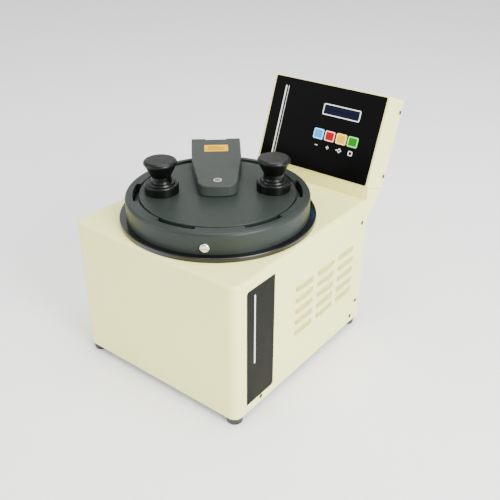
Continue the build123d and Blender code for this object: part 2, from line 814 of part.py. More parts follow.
with BuildPart() as vessel_frame:
    with BuildSketch(Plane.XY.offset(top_z - sheet - frame_thickness)):
        with Locations((0, lid_y + (frame_rear - frame_front) / 2)):
            Rectangle(frame_width, frame_front + frame_rear)
        with Locations((0, lid_y)):
            Circle(cover_opening, mode=Mode.SUBTRACT)
    extrude(amount=frame_thickness)
    with BuildSketch(lid_plane.offset(top_z - sheet - frame_thickness)):
        with PolarLocations(bolt_circle, bolt_count):
            Circle(bolt_radius)
        with Locations(*bracket_screw_spots):
            Circle(bracket_screw_radius)
    extrude(amount=frame_thickness, mode=Mode.SUBTRACT)
    # four angle-section legs down to the base plate
    with BuildSketch(Plane.XY.offset(base_z + sheet)):
        for side in (-1, 1):
            for end, reach in ((-1, leg_front), (1, leg_rear)):
                outer_x, outer_y = side * leg_x, lid_y + end * reach
                with Locations((outer_x - side * leg_section / 2, outer_y - end * frame_thickness / 2)):
                    Rectangle(leg_section, frame_thickness)
                with Locations((outer_x - side * frame_thickness / 2, outer_y - end * leg_section / 2)):
                    Rectangle(frame_thickness, leg_section)
    extrude(amount=housing_height - 2 * sheet - frame_thickness)
finish(vessel_frame, "vessel_frame")

with BuildPart() as flange_ring:
    with BuildSketch(lid_plane.offset(top_z)):
        Circle(flange_radius)
        Circle(vessel_outer, mode=Mode.SUBTRACT)
        with PolarLocations(bolt_circle, bolt_count):
            Circle(bolt_radius, mode=Mode.SUBTRACT)
    extrude(amount=flange_height)
    fillet(flange_ring.edges().group_by(Axis.Z)[-1].sort_by(SortBy.RADIUS)[-1], flange_edge)
finish(flange_ring, "flange_ring")

stop_z = lid_base + 3.5
ring_lug_angle = 360 / lug_count - ring_gap_angle
stop_plane = Plane(
    origin=lid_plane.from_local_coords(
        (ring_radius * cos(radians(stop_angle)), ring_radius * sin(radians(stop_angle)), stop_z)
    ),
    x_dir=(0, 0, 1),
    z_dir=(cos(radians(stop_angle + arm_azimuth)), sin(radians(stop_angle + arm_azimuth)), 0),
)

with BuildPart() as bayonet_ring:
    with BuildSketch(lid_plane.offset(flange_z)):
        Circle(ring_radius)
        Circle(groove_radius, mode=Mode.SUBTRACT)
    extrude(amount=ring_height)
    fillet(bayonet_ring.edges().group_by(Axis.Z)[-1].sort_by(SortBy.RADIUS)[-1], ring_edge)
    for index in range(lug_count):
        with BuildSketch(lid_plane.offset(ring_top - ring_lug_height)):
            add(ring_sector(ring_lug_radius, groove_radius + lug_root, index * 360 / lug_count, ring_lug_angle))
        extrude(amount=ring_lug_height)
    with BuildSketch(lid_plane.offset(flange_z)):
        with PolarLocations(bolt_circle, bolt_count):
            Circle(bolt_radius)
    extrude(amount=bolt_reach, mode=Mode.SUBTRACT)
    with BuildSketch(stop_plane):
        Circle(stop_radius)
    extrude(amount=-stop_reach, mode=Mode.SUBTRACT)
finish(bayonet_ring, "bayonet_ring")

with BuildPart() as stop_screw:
    with BuildSketch(stop_plane):
        Circle(stop_head_radius)
    extrude(amount=stop_head_height)
    fillet(stop_screw.edges().sort_by(Axis(stop_plane.origin, stop_plane.z_dir))[-1], stop_dome)
    with BuildSketch(stop_plane):
        Circle(stop_radius)
    extrude(amount=-stop_reach)
    with BuildSketch(stop_plane.offset(stop_head_height)):
        Rectangle(screw_slot_width, 2 * stop_head_radius)
    extrude(amount=-screw_slot_depth, mode=Mode.SUBTRACT)
finish(stop_screw, "stop_screw")

with BuildPart() as ring_bolts:
    bolt_seat = top_z - sheet - frame_thickness
    with BuildSketch(lid_plane.offset(bolt_seat - bolt_head_height)):
        with PolarLocations(bolt_circle, bolt_count):
            Circle(bolt_head_radius)
    extrude(amount=bolt_head_height)
    with BuildSketch(lid_plane.offset(bolt_seat)):
        with PolarLocations(bolt_circle, bolt_count):
            Circle(bolt_radius)
    extrude(amount=flange_z + bolt_reach - bolt_seat)
    with BuildSketch(lid_plane.offset(bolt_seat - bolt_head_height)):
        with PolarLocations(bolt_circle, bolt_count):
            RegularPolygon(socket_size, 6)
    extrude(amount=socket_deep, mode=Mode.SUBTRACT)
finish(ring_bolts, "ring_bolts")

with BuildPart() as pressure_vessel:
    with BuildSketch(lid_section) as vessel_profile:
        with BuildLine():
            Polyline(
                (0, vessel_base - vessel_wall),
                (vessel_outer, vessel_base - vessel_wall),
                (vessel_outer, flange_z),
                (groove_radius - slide_gap, flange_z),
                (groove_radius - slide_gap, rim_top),
                (vessel_radius, rim_top),
                (vessel_radius, vessel_base),
                (0, vessel_base),
                close=True,
            )
        make_face()
        outer_corner = (vessel_outer, vessel_base - vessel_wall, 0)
        fillet(vessel_profile.vertices().sort_by_distance(outer_corner)[0],
               vessel_floor_radius + vessel_wall)
        inner_corner = (vessel_radius, vessel_base, 0)
        fillet(vessel_profile.vertices().sort_by_distance(inner_corner)[0], vessel_floor_radius)
    revolve(axis=lid_axis)
    with BuildSketch(lid_plane.offset(vessel_base)):
        Circle(drain_radius)
    extrude(amount=-vessel_wall, mode=Mode.SUBTRACT)
finish(pressure_vessel, "pressure_vessel")

heater_base = vessel_base + 25
with BuildPart() as band_heater:
    with BuildSketch(lid_plane.offset(heater_base)):
        Circle(vessel_outer + heater_wall)
        Circle(vessel_outer, mode=Mode.SUBTRACT)
        with Locations((vessel_outer, 0)):
            Rectangle(20, heater_split, mode=Mode.SUBTRACT)
    extrude(amount=heater_height)
    # clamping ears each side of the split
    with BuildSketch(lid_plane.offset(heater_base + heater_ear_rise)):
        with Locations(*[(vessel_outer + heater_wall + 3.5, side * 5.5) for side in (-1, 1)]):
            Rectangle(9, 3)
    extrude(amount=heater_ear_height)
    with BuildSketch(Plane(origin=lid_plane.from_local_coords(
            (vessel_outer + heater_wall + 4.5, 0, heater_base + heater_height / 2)),
            x_dir=(0, 0, 1), z_dir=lid_plane.y_dir)):
        with GridLocations(16, 1, 2, 1):
            Circle(1.5)
    extrude(amount=10, both=True)
finish(band_heater, "band_heater")

insulation_inner = vessel_outer + insulation_gap
with BuildPart() as insulation_jacket:
    with BuildSketch(lid_plane.offset(vessel_base - vessel_wall)):
        Circle(insulation_inner + insulation_wall)
        Circle(insulation_inner, mode=Mode.SUBTRACT)
        # gap for the heater's clamp and the sensors
        with Locations((insulation_inner + insulation_wall / 2, 0)):
            Rectangle(insulation_wall + 12, jacket_gap, mode=Mode.SUBTRACT)
    extrude(amount=vessel_depth - jacket_short)
finish(insulation_jacket, "insulation_jacket")

sensor_angle = radians(sensor_angle_degrees)
sensor_z = vessel_base + 100
for sensor_name, sensor_side, sensor_radius, sensor_length in (
    ("temperature_sensor", 1, 3.0, 22.0),
    ("overheat_switch", -1, 8.0, 11.0),
):
    direction = arm_angle + sensor_side * sensor_angle
    seat_radius = vessel_outer - 1         # starts inside the wall's curve, then is cut to it
    sensor_plane = Plane(
        origin=(seat_radius * cos(direction), lid_y + seat_radius * sin(direction), sensor_z),
        x_dir=(0, 0, 1),
        z_dir=(cos(direction), sin(direction), 0),
    )
    with BuildPart() as sensor:
        with BuildSketch(sensor_plane):
            Circle(sensor_radius)
        extrude(amount=sensor_length + 1)
        with BuildSketch(lid_plane.offset(sensor_z - 20)):
            Circle(vessel_outer)
        extrude(amount=40, mode=Mode.SUBTRACT)
    finish(sensor, sensor_name)

# ---------------------------------------------------------------- lid disc
lug_angles = [(index + 0.5) * 360 / lug_count for index in range(lug_count)]
bush_outer = pivot_radius + running_gap + bush_wall
thrust_height = arm_gap - thrust_play
knob_spots = [(0, side * knob_circle) for side in (1, -1)]

with BuildPart() as lid_disc:
    with BuildSketch(lid_plane.offset(lid_base)):
        Circle(lid_radius)
    extrude(amount=lid_top - lid_base)
    rims = lid_disc.edges().filter_by(GeomType.CIRCLE).sort_by(Axis.Z)
    chamfer(rims[0], lid_chamfer)
    fillet(rims[-1], lug_edge)
    for angle in lug_angles:
        with BuildSketch(lid_plane.offset(lid_base)):
            add(ring_sector(lid_radius - lug_bite, lid_lug_radius, angle, lid_lug_angle))
        extrude(amount=lid_lug_height)
    lug_rims = lid_disc.edges().filter_by(
        lambda edge: edge.geom_type == GeomType.CIRCLE
        and abs(edge.radius - lid_lug_radius) < 0.01
        and abs(edge.center().Z - lid_base) < 0.01
    )
    chamfer(lug_rims, lug_edge)
    with BuildSketch(lid_plane.offset(lid_base)):
        Circle(lid_recess_radius)
    extrude(amount=lid_recess_depth, mode=Mode.SUBTRACT)
    with BuildSketch(lid_plane.offset(lid_base)):
        Circle(seal_outer)
        Circle(seal_inner, mode=Mode.SUBTRACT)
    extrude(amount=seal_depth, mode=Mode.SUBTRACT)
    with BuildSketch(lid_plane.offset(lid_base)):
        Circle(bush_outer)
    extrude(amount=lid_top - lid_base, mode=Mode.SUBTRACT)
    with BuildSketch(lid_plane.offset(lid_top)):
        with Locations(*knob_spots):
            Circle(stud_radius)
    extrude(amount=-stud_depth, mode=Mode.SUBTRACT)
finish(lid_disc, "lid_disc")

with BuildPart() as lid_seal:
    seal_base = rim_top + seal_squeeze_gap
    with BuildSketch(lid_plane.offset(seal_base)):
        Circle(seal_outer)
        Circle(seal_inner, mode=Mode.SUBTRACT)
    extrude(amount=lid_base + seal_depth - seal_base)
    fillet(lid_seal.edges().group_by(Axis.Z)[0], 0.8)
finish(lid_seal, "lid_seal")

with BuildPart() as pivot_bush:
    with BuildSketch(lid_plane.offset(lid_base + lid_recess_depth)):
        Circle(bush_outer)
    extrude(amount=lid_top - lid_base - lid_recess_depth)
    with BuildSketch(lid_plane.offset(lid_top)):
        Circle(thrust_radius)
    extrude(amount=thrust_height)
    with BuildSketch(lid_plane.offset(lid_base)):
        Circle(pivot_radius + running_gap)
    extrude(amount=arm_top - lid_base, mode=Mode.SUBTRACT)
finish(pivot_bush, "pivot_bush")

for knob_name, knob_spot in zip(("left_knob", "right_knob"), knob_spots):
    knob_centre = lid_plane.from_local_coords((*knob_spot, lid_top))
    knob_section = Plane(origin=knob_centre, x_dir=(1, 0, 0), z_dir=(0, -1, 0))
    with BuildPart() as knob:
        with BuildSketch(knob_section) as knob_profile:
            with BuildLine():
                Polyline((0, 0), (knob_base_radius, 0), (knob_base_radius, knob_moulding),
                         (knob_base_radius - 5, knob_moulding),
                         (knob_base_radius - 6, knob_moulding + 2.5),
                         (knob_waist_radius + 1, knob_moulding + 2.5),
                         (knob_waist_radius, knob_neck), (knob_waist_radius, knob_waist_top))
                Line((knob_waist_radius, knob_waist_top), (knob_top_radius - 1.5, knob_shoulder))
                ThreePointArc((knob_top_radius - 1.5, knob_shoulder),
                              (knob_top_radius, knob_shoulder + 3),
                              (knob_top_radius - 2.5, knob_height - 0.8))
                Line((knob_top_radius - 2.5, knob_height - 0.8), (knob_top_radius - 4, knob_height))
                Line((knob_top_radius - 4, knob_height), (0, knob_height))
                Line((0, knob_height), (0, 0))
            make_face()
        revolve(axis=Axis(knob_centre, (0, 0, 1)))
        base_rims = knob.edges().filter_by(GeomType.CIRCLE).filter_by(
            lambda edge: abs(edge.radius - knob_base_radius) < 0.01
        )
        fillet(base_rims.sort_by(Axis.Z)[-1], 3)
        fillet(base_rims.sort_by(Axis.Z)[0], 1)
        with BuildSketch(Plane.XY.offset(lid_top)):
            with Locations((knob_centre.X, knob_centre.Y)):
                Circle(stud_radius)
        extrude(amount=stud_in_knob, mode=Mode.SUBTRACT)
    finish(knob, knob_name)

with BuildPart() as knob_studs:
    with BuildSketch(lid_plane.offset(lid_top - stud_depth)):
        with Locations(*knob_spots):
            Circle(stud_radius)
    extrude(amount=stud_depth + stud_in_knob)
finish(knob_studs, "knob_studs")

# ---------------------------------------------------------------- hinged arm
bush_radius = hinge_pin_radius + running_gap + bush_wall
knuckle_half = arm_rear_half - knuckle_inset
bush_end = knuckle_half - pin_seat_depth

with BuildPart() as hinge_arm:
    with BuildSketch(lid_plane.offset(arm_base)) as arm_outline:
        Polygon(
            (hinge_reach, arm_rear_half),
            (arm_shoulder, arm_shoulder_half),
            (-arm_nose, arm_nose_half),
            (-arm_nose - arm_nose_bow, 0),
            (-arm_nose, -arm_nose_half),
            (arm_shoulder, -arm_shoulder_half),
            (hinge_reach, -arm_rear_half),
            align=None,
        )
        fillet(arm_outline.vertices().sort_by_distance((-arm_nose - arm_nose_bow, 0))[:1], nose_bow_radius)
        nose_corners = arm_outline.vertices().sort_by_distance((-arm_nose, arm_nose_half))[:1]
        nose_corners += arm_outline.vertices().sort_by_distance((-arm_nose, -arm_nose_half))[:1]
        fillet(nose_corners, nose_radius)
        shoulders = arm_outline.vertices().sort_by_distance((arm_shoulder, arm_shoulder_half))[:1]
        shoulders += arm_outline.vertices().sort_by_distance((arm_shoulder, -arm_shoulder_half))[:1]
        fillet(shoulders, shoulder_radius)
    extrude(amount=arm_thickness, taper=arm_draft)
    upper_edges = hinge_arm.edges().group_by(Axis.Z)[-1].filter_by(
        lambda edge: lid_plane.to_local_coords(edge.center()).X < hinge_reach - 2
    )
    fillet(upper_edges, arm_edge)
    with BuildSketch(hinge_plane):
        Circle(arm_knuckle_radius)
    extrude(amount=knuckle_half, both=True)
    # pocket and rear notch for the bracket's knuckle, which the arm's skin reaches over
    pocket_half = bracket_knuckle_half + knuckle_gap
    with BuildSketch(hinge_plane):
        Circle(pocket_radius)
        with Locations((0, -arm_knuckle_radius)):
            Rectangle(2 * pocket_radius, 2 * arm_knuckle_radius)
        with Locations((arm_knuckle_radius, pocket_radius - arm_knuckle_radius)):
            Rectangle(2 * arm_knuckle_radius, 2 * arm_knuckle_radius)
        with Locations((arm_knuckle_radius - pocket_skin, 0)):
            Rectangle(2 * arm_knuckle_radius, 3 * arm_knuckle_radius)
    extrude(amount=pocket_half, both=True, mode=Mode.SUBTRACT)
    with BuildSketch(hinge_plane):
        Circle(bush_radius)
    extrude(amount=arm_rear_half, both=True, mode=Mode.SUBTRACT)
    for side in (-1, 1):
        with BuildSketch(hinge_plane.offset(side * bush_end)):
            Circle(pin_seat_radius)
        extrude(amount=side * 2 * pin_seat_depth, mode=Mode.SUBTRACT)
    with BuildSketch(lid_plane.offset(arm_top)):
        Circle(pivot_head_radius)
    extrude(amount=-pivot_head_height, mode=Mode.SUBTRACT)
    with BuildSketch(lid_plane.offset(arm_top)):
        Circle(pivot_radius)
    extrude(amount=-arm_thickness, mode=Mode.SUBTRACT)
finish(hinge_arm, "hinge_arm")

with BuildPart() as caution_label:
    with BuildSketch(lid_plane.offset(arm_top)):
        with Locations((caution_reach, 0)):
            Rectangle(caution_length, caution_width)
    extrude(amount=caution_thickness)
finish(caution_label, "caution_label")

with BuildPart() as pivot_bolt:
    shank_end = lid_base + lid_recess_depth - nut_flange_height - nut_height
    with BuildSketch(lid_plane.offset(arm_top - pivot_head_height)):
        Circle(pivot_head_radius)
    extrude(amount=pivot_head_height)
    chamfer(pivot_bolt.edges().group_by(Axis.Z)[-1], 0.8)
    with BuildSketch(lid_plane.offset(shank_end)):
        Circle(pivot_radius)
    extrude(amount=arm_top - pivot_head_height - shank_end)
    with BuildSketch(lid_plane.offset(arm_top)):
        RegularPolygon(pivot_hex, 6)
    extrude(amount=-pivot_hex_depth, mode=Mode.SUBTRACT)
finish(pivot_bolt, "pivot_bolt")

with BuildPart() as pivot_nut:
    with BuildSketch(lid_plane.offset(shank_end)):
        RegularPolygon(pivot_nut_hex, 6)
        Circle(pivot_radius, mode=Mode.SUBTRACT)
    extrude(amount=nut_height)
    with BuildSketch(lid_plane.offset(shank_end + nut_height)):
        Circle(nut_flange_radius)
        Circle(pivot_radius, mode=Mode.SUBTRACT)
    extrude(amount=nut_flange_height - thrust_play)
finish(pivot_nut, "pivot_nut")

# ---------------------------------------------------------------- hinge

with BuildPart() as hinge_bushes:
    for side in (-1, 1):
        middle = side * (pocket_half + bush_end) / 2
        with BuildSketch(hinge_plane.offset(middle)):
            Circle(bush_radius)
            Circle(hinge_pin_radius + running_gap, mode=Mode.SUBTRACT)
        extrude(amount=(bush_end - pocket_half) / 2, both=True)
finish(hinge_bushes, "hinge_bushes")

with BuildPart() as hinge_bracket:
    with BuildSketch(lid_plane.offset(top_z)):
        with Locations(((bracket_front + bracket_rear) / 2, 0)):
            Rectangle(bracket_rear - bracket_front, 2 * bracket_half)
        with Locations(*bracket_screw_spots):
            Circle(bracket_screw_radius, mode=Mode.SUBTRACT)
    extrude(amount=bracket_plate)
    with BuildSketch(lid_plane.offset(top_z)):
        with Locations((hinge_reach, 0)):
            Rectangle(2 * bracket_post_half, 2 * bracket_knuckle_half)
    extrude(amount=hinge_z - top_z)
    with BuildSketch(hinge_plane):
        Circle(bracket_knuckle_radius)
    extrude(amount=bracket_knuckle_half, both=True)
    with BuildSketch(hinge_plane):
        Circle(hinge_pin_radius)
    extrude(amount=bracket_knuckle_half, both=True, mode=Mode.SUBTRACT)
finish(hinge_bracket, "hinge_bracket")

with BuildPart() as hinge_pin:
    with BuildSketch(hinge_plane):
        Circle(hinge_pin_radius)
    extrude(amount=bush_end + pin_end, both=True)
    with BuildSketch(hinge_plane.offset(bush_end)):
        Circle(pin_head_radius)
    extrude(amount=pin_head_height)
    groove_start = -bush_end - 1.4
    with BuildSketch(hinge_plane.offset(groove_start)):
        Circle(hinge_pin_radius)
        Circle(hinge_pin_radius - clip_groove, mode=Mode.SUBTRACT)
    extrude(amount=1, mode=Mode.SUBTRACT)
finish(hinge_pin, "hinge_pin")

with BuildPart() as hinge_clip:
    with BuildSketch(hinge_plane.offset(groove_start)):
        Circle(clip_radius)
        Circle(hinge_pin_radius - clip_groove, mode=Mode.SUBTRACT)
        with Locations((hinge_pin_radius, 0)):
            Rectangle(8, 4, mode=Mode.SUBTRACT)
    extrude(amount=1)
finish(hinge_clip, "hinge_clip")

with BuildPart() as bracket_screws:
    with BuildSketch(lid_plane.offset(top_z + bracket_plate)):
        with Locations(*bracket_screw_spots):
            Circle(bracket_head_radius)
    extrude(amount=bracket_head_height)
    with BuildSketch(lid_plane.offset(top_z + bracket_plate)):
        with Locations(*bracket_screw_spots):
            Circle(bracket_screw_radius)
    extrude(amount=-(bracket_plate + sheet + frame_thickness + bracket_thread))
    with BuildSketch(lid_plane.offset(top_z + bracket_plate + bracket_head_height)):
        with Locations(*bracket_screw_spots):
            RegularPolygon(bracket_hex, 6)
    extrude(amount=-bracket_hex_depth, mode=Mode.SUBTRACT)
finish(bracket_screws, "bracket_screws")

# ---------------------------------------------------------------- mains parts
socket_z = inlet_z - 17
fuse_z = inlet_z + 2
rocker_z = inlet_z + 19

with BuildPart() as mains_inlet:
    with BuildSketch(rear_face):
        with Locations((-inlet_x, inlet_z)):
            RectangleRounded(inlet_width + 2 * inlet_lip_x, inlet_height + 2 * inlet_lip_z, 3)
    extrude(amount=inlet_flange)
    with BuildSketch(rear_face):
        with Locations((-inlet_x, inlet_z)):
            Rectangle(inlet_width, inlet_height)
    extrude(amount=-inlet_depth)
    with BuildSketch(rear_face.offset(inlet_flange)):
        with Locations((-inlet_x, socket_z)):
            RectangleRounded(socket_width, socket_height, 3)
    extrude(amount=-socket_depth, mode=Mode.SUBTRACT)
    with BuildSketch(rear_face.offset(inlet_flange)):
        with Locations((-inlet_x, fuse_z)):
            Rectangle(fuse_width, fuse_height)
    extrude(amount=-fuse_depth, mode=Mode.SUBTRACT)
    with BuildSketch(rear_face.offset(inlet_flange)):
        with Locations((-inlet_x, rocker_z)):
            Rectangle(rocker_width + 2 * slide_gap, 2 * bay_half)
    extrude(amount=-bay_depth, mode=Mode.SUBTRACT)
    with BuildSketch(Plane.YZ.offset(inlet_x)):
        with Locations((rear_y, rocker_z)):
            Circle(rocker_axle + running_gap)
    extrude(amount=rocker_width / 2 + 1.5, both=True, mode=Mode.SUBTRACT)
    # three contact blades inside the socket
    with BuildSketch(rear_face.offset(inlet_flange - socket_depth)):
        with Locations((-inlet_x - 7, socket_z - 2), (-inlet_x + 7, socket_z - 2), (-inlet_x, socket_z + 2)):
            Rectangle(2, 4)
    extrude(amount=socket_depth - 2)
finish(mains_inlet, "mains_inlet")

with BuildPart() as fuse_drawer:
    with BuildSketch(rear_face.offset(inlet_flange - fuse_depth)):
        with Locations((-inlet_x, fuse_z)):
            Rectangle(fuse_width, fuse_height)
    extrude(amount=fuse_depth)
    with BuildSketch(rear_face.offset(inlet_flange)):
        with Locations((-inlet_x, fuse_z)):
            RectangleRounded(fuse_width + 2 * fuse_lip, fuse_height + fuse_lip, fuse_lip)
    extrude(amount=fuse_lip)
finish(fuse_drawer, "fuse_drawer")

rocker_plane = Plane(
    origin=(inlet_x, rear_y, rocker_z),
    x_dir=(0, cos(radians(rocker_lean)), -sin(radians(rocker_lean))),
    z_dir=(1, 0, 0),
)
with BuildPart() as mains_rocker:
    with BuildSketch(rocker_plane):
        Polygon((-4, -rocker_half), (4.5, -rocker_half), (2.8, 0), (4.5, rocker_half),
                (-4, rocker_half), align=None)
    extrude(amount=rocker_width / 2, both=True)
    with BuildSketch(rocker_plane):
        Circle(rocker_axle)
    extrude(amount=rocker_width / 2 + 1.3, both=True)
finish(mains_rocker, "mains_rocker")

floor_z = base_z + sheet
supply_x, supply_y = -70.0, rear_y - 28
with BuildPart() as power_supply:
    with BuildSketch(Plane.XY.offset(floor_z)):
        with Locations((supply_x, supply_y)):
            Rectangle(supply_width, supply_depth)
    extrude(amount=supply_height)
    with BuildSketch(Plane.XY.offset(floor_z + supply_height - 10)):
        with Locations((supply_x, supply_y - supply_depth / 2 + 6)):
            with GridLocations(8, 1, 6, 1):
                Rectangle(6, 8)
    extrude(amount=10, mode=Mode.SUBTRACT)
finish(power_supply, "power_supply")

board_face = rear_face.offset(-sheet - relay_gap)
ribbon_x = console_x + connector_spot[0]
with BuildPart() as relay_board:
    with BuildSketch(board_face):
        with Locations((-relay_board_x, relay_board_z)):
            Rectangle(relay_board_width, relay_board_height)
        with Locations(*[(-x, z) for x, z in relay_spacers]):
            Circle(spacer_bore, mode=Mode.SUBTRACT)
    extrude(amount=-board_thickness)
    with BuildSketch(board_face.offset(-board_thickness)):
        with Locations((-relay_board_x + 10, relay_board_z - 12)):
            with GridLocations(relay_pitch, 1, 3, 1):
                Rectangle(relay_width, relay_length)
    extrude(amount=-relay_height)
    with BuildSketch(board_face.offset(-board_thickness)):
        with Locations((-ribbon_x, relay_board_z + relay_connector_rise)):
            Rectangle(connector_width, connector_depth)
        with Locations((-relay_board_x + 46, relay_board_z)):
            Rectangle(10, 24)
    extrude(amount=-connector_height)
finish(relay_board, "relay_board")

ribbon_y = rear_y - sheet - relay_gap - board_thickness - connector_height / 2
floor_gap = lip_front + neck_tongue + cable_slot_set_back
ribbon_back = -board_depth - board_thickness - connector_height
ribbon_points = [
    (ribbon_x, ribbon_y, relay_board_z + relay_connector_rise + connector_depth / 2),
    (ribbon_x, ribbon_y, relay_board_z + 62),
    (ribbon_x, console_y + floor_gap * cos(tilt), console_z - floor_gap * sin(tilt)),
    panel.from_local_coords((connector_spot[0], 30, ribbon_back - 9)),
    panel.from_local_coords((connector_spot[0], connector_spot[1], ribbon_back - 9)),
    panel.from_local_coords((connector_spot[0], connector_spot[1], ribbon_back)),
]
with BuildPart() as panel_cable:
    with BuildLine() as ribbon_route:
        FilletPolyline(*ribbon_points, radius=6)
    with BuildSketch(Plane(origin=ribbon_points[0], x_dir=(1, 0, 0), z_dir=(0, 0, 1))):
        Rectangle(ribbon_width, ribbon_thickness)
    sweep(path=ribbon_route.line)
finish(panel_cable, "panel_cable")

# ---------------------------------------------------------------- air parts
manifold_x, manifold_y = 85.0, rear_y - 17
manifold_top = floor_z + manifold_size

with BuildPart() as air_inlet_fitting:
    with BuildSketch(rear_face):
        with Locations((-air_inlet_x, air_inlet_z)):
            RegularPolygon(fitting_hex, 6)
    extrude(amount=fitting_height)
    with BuildSketch(rear_face.offset(fitting_height)):
        with Locations((-air_inlet_x, air_inlet_z)):
            Circle(nipple_radius)
    extrude(amount=nipple_length)
    with BuildSketch(rear_face):
        with Locations((-air_inlet_x, air_inlet_z)):
            Circle(port_radius)
    extrude(amount=-regulator_front)
    with BuildSketch(rear_face.offset(fitting_height + nipple_length)):
        with Locations((-air_inlet_x, air_inlet_z)):
            Circle(nipple_bore)
    extrude(amount=-(fitting_height + nipple_length + regulator_front), mode=Mode.SUBTRACT)
finish(air_inlet_fitting, "air_inlet_fitting")

with BuildPart() as pressure_regulator:
    with BuildSketch(Plane.XY.offset(air_inlet_z - 20)):
        with Locations((air_inlet_x, rear_y - regulator_front - regulator_size / 2)):
            RectangleRounded(regulator_size, regulator_size, 4)
    extrude(amount=30)
    with BuildSketch(Plane.XY.offset(air_inlet_z + 10)):
        with Locations((air_inlet_x, rear_y - regulator_front - regulator_size / 2)):
            Circle(17)
    extrude(amount=regulator_height - 30)
finish(pressure_regulator, "pressure_regulator")

with BuildPart() as valve_manifold:
    with BuildSketch(Plane.XY.offset(floor_z)):
        with Locations((manifold_x, manifold_y)):
            Rectangle(manifold_length, manifold_size)
    extrude(amount=manifold_size)
    chamfer(valve_manifold.edges().filter_by(Axis.Z), 1)
finish(valve_manifold, "valve_manifold")

with BuildPart() as solenoid_valves:
    valve_spots = [(manifold_x - 1 - place * valve_pitch, manifold_y) for place in (1, 0)]
    for level, width, depth, height in ((0, 20, 22, valve_base_height),
                                        (valve_base_height, 22, 24, valve_coil_height)):
        with BuildSketch(Plane.XY.offset(manifold_top + level)):
            with Locations(*valve_spots):
                Rectangle(width, depth)
        extrude(amount=height)
    with BuildSketch(Plane.XY.offset(manifold_top + valve_base_height + valve_coil_height)):
        with Locations(*valve_spots):
            RegularPolygon(6, 6)
    extrude(amount=5)
finish(solenoid_valves, "solenoid_valves")

for fitting_name, fitting_x, levels in (
    ("pressure_sensor", manifold_x + 18, ((8, 10), (7, 24), (4, 8))),
    ("safety_valve", manifold_x + 33, ((6, 8), (4.5, 16), (6, 4))),
):
    with BuildPart() as fitting:
        fitting_z = manifold_top
        for radius, height in levels:
            with BuildSketch(Plane.XY.offset(fitting_z)):
                with Locations((fitting_x, manifold_y)):
                    Circle(radius)
            extrude(amount=height)
            fitting_z += height
    finish(fitting, fitting_name)

with BuildPart() as exhaust_silencer:
    with BuildSketch(rear_face):
        with Locations((-vent_x, vent_z)):
            RegularPolygon(silencer_hex, 6)
    extrude(amount=silencer_hex_height)
    with BuildSketch(rear_face.offset(silencer_hex_height)):
        with Locations((-vent_x, vent_z)):
            Circle(silencer_radius)
    extrude(amount=silencer_length)
    fillet(exhaust_silencer.faces().sort_by(Axis.Y)[-1].edges(), 3)
    with BuildSketch(rear_face):
        with Locations((-vent_x, vent_z)):
            Circle(port_radius)
    extrude(amount=-8)
finish(exhaust_silencer, "exhaust_silencer")

with BuildPart() as vessel_port:
    with BuildSketch(lid_plane.offset(vessel_base)):
        Circle(drain_radius)
        Circle(hose_radius - 0.5, mode=Mode.SUBTRACT)
    extrude(amount=-vessel_wall - port_drop)
    with BuildSketch(lid_plane.offset(vessel_base - vessel_wall)):
        RegularPolygon(10, 6)
        Circle(drain_radius, mode=Mode.SUBTRACT)
    extrude(amount=-8)
finish(vessel_port, "vessel_port")

hose_z = floor_z + manifold_size / 2
manifold_left = manifold_x - manifold_length / 2
manifold_right = manifold_x + manifold_length / 2
feed_x = (air_inlet_x + regulator_size / 2 + manifold_left) / 2
hose_routes = [
    [(air_inlet_x + regulator_size / 2, manifold_y, air_inlet_z), (feed_x, manifold_y, air_inlet_z),
     (feed_x, manifold_y, hose_z), (manifold_left, manifold_y, hose_z)],
    [(manifold_left + 15, manifold_y - manifold_size / 2, hose_z), (manifold_left + 15, lid_y + 50, hose_z),
     (0, lid_y, hose_z), (0, lid_y, vessel_base - vessel_wall - port_drop)],
    [(manifold_right, manifold_y, hose_z), (vent_x, manifold_y, hose_z),
     (vent_x, manifold_y, vent_z), (vent_x, rear_y - 8, vent_z)],
]
hose_bends = [9, 18, 6]
with BuildPart() as air_hoses:
    for route, bend in zip(hose_routes, hose_bends):
        with BuildLine() as hose_line:
            FilletPolyline(*route, radius=bend)
        with BuildSketch(Plane(origin=hose_line.line @ 0, z_dir=hose_line.line % 0)):
            Circle(hose_radius)
        sweep(path=hose_line.line)
finish(air_hoses, "air_hoses")

heater_end = lid_plane.from_local_coords((vessel_outer + heater_wall + 12, 0, 0))
lead_y = rear_y - sheet - relay_gap - board_thickness - lead_radius - 2
lead_routes = [
    [(relay_board_x - relay_board_width / 2 + 9, lead_y, relay_board_z),
     (heater_end.X - 2, lead_y, relay_board_z),
     (heater_end.X - 14, lead_y - 40, relay_board_z), (heater_end.X, heater_end.Y, relay_board_z)],
    [(inlet_x + 12, rear_y - inlet_depth, inlet_z - 10), (inlet_x + 12, supply_y - 5, inlet_z - 10),
     (supply_x - supply_width / 2, supply_y - 5, inlet_z - 10)],
]
lead_bends = [10, 5]
with BuildPart() as power_leads:
    for route, bend in zip(lead_routes, lead_bends):
        with BuildLine() as lead_line:
            FilletPolyline(*route, radius=bend)
        with BuildSketch(Plane(origin=lead_line.line @ 0, z_dir=lead_line.line % 0)):
            Circle(lead_radius)
        sweep(path=lead_line.line)
finish(power_leads, "power_leads")
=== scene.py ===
"""Looks of the bench-top pressure-curing unit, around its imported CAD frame.

Metres, in the frame's own axes: +X right, -Y front, +Z up. Every piece's object sits at the origin.
"""
import json
from math import cos, pi, radians, sin

import bmesh
import bpy
from mathutils import Matrix, Vector


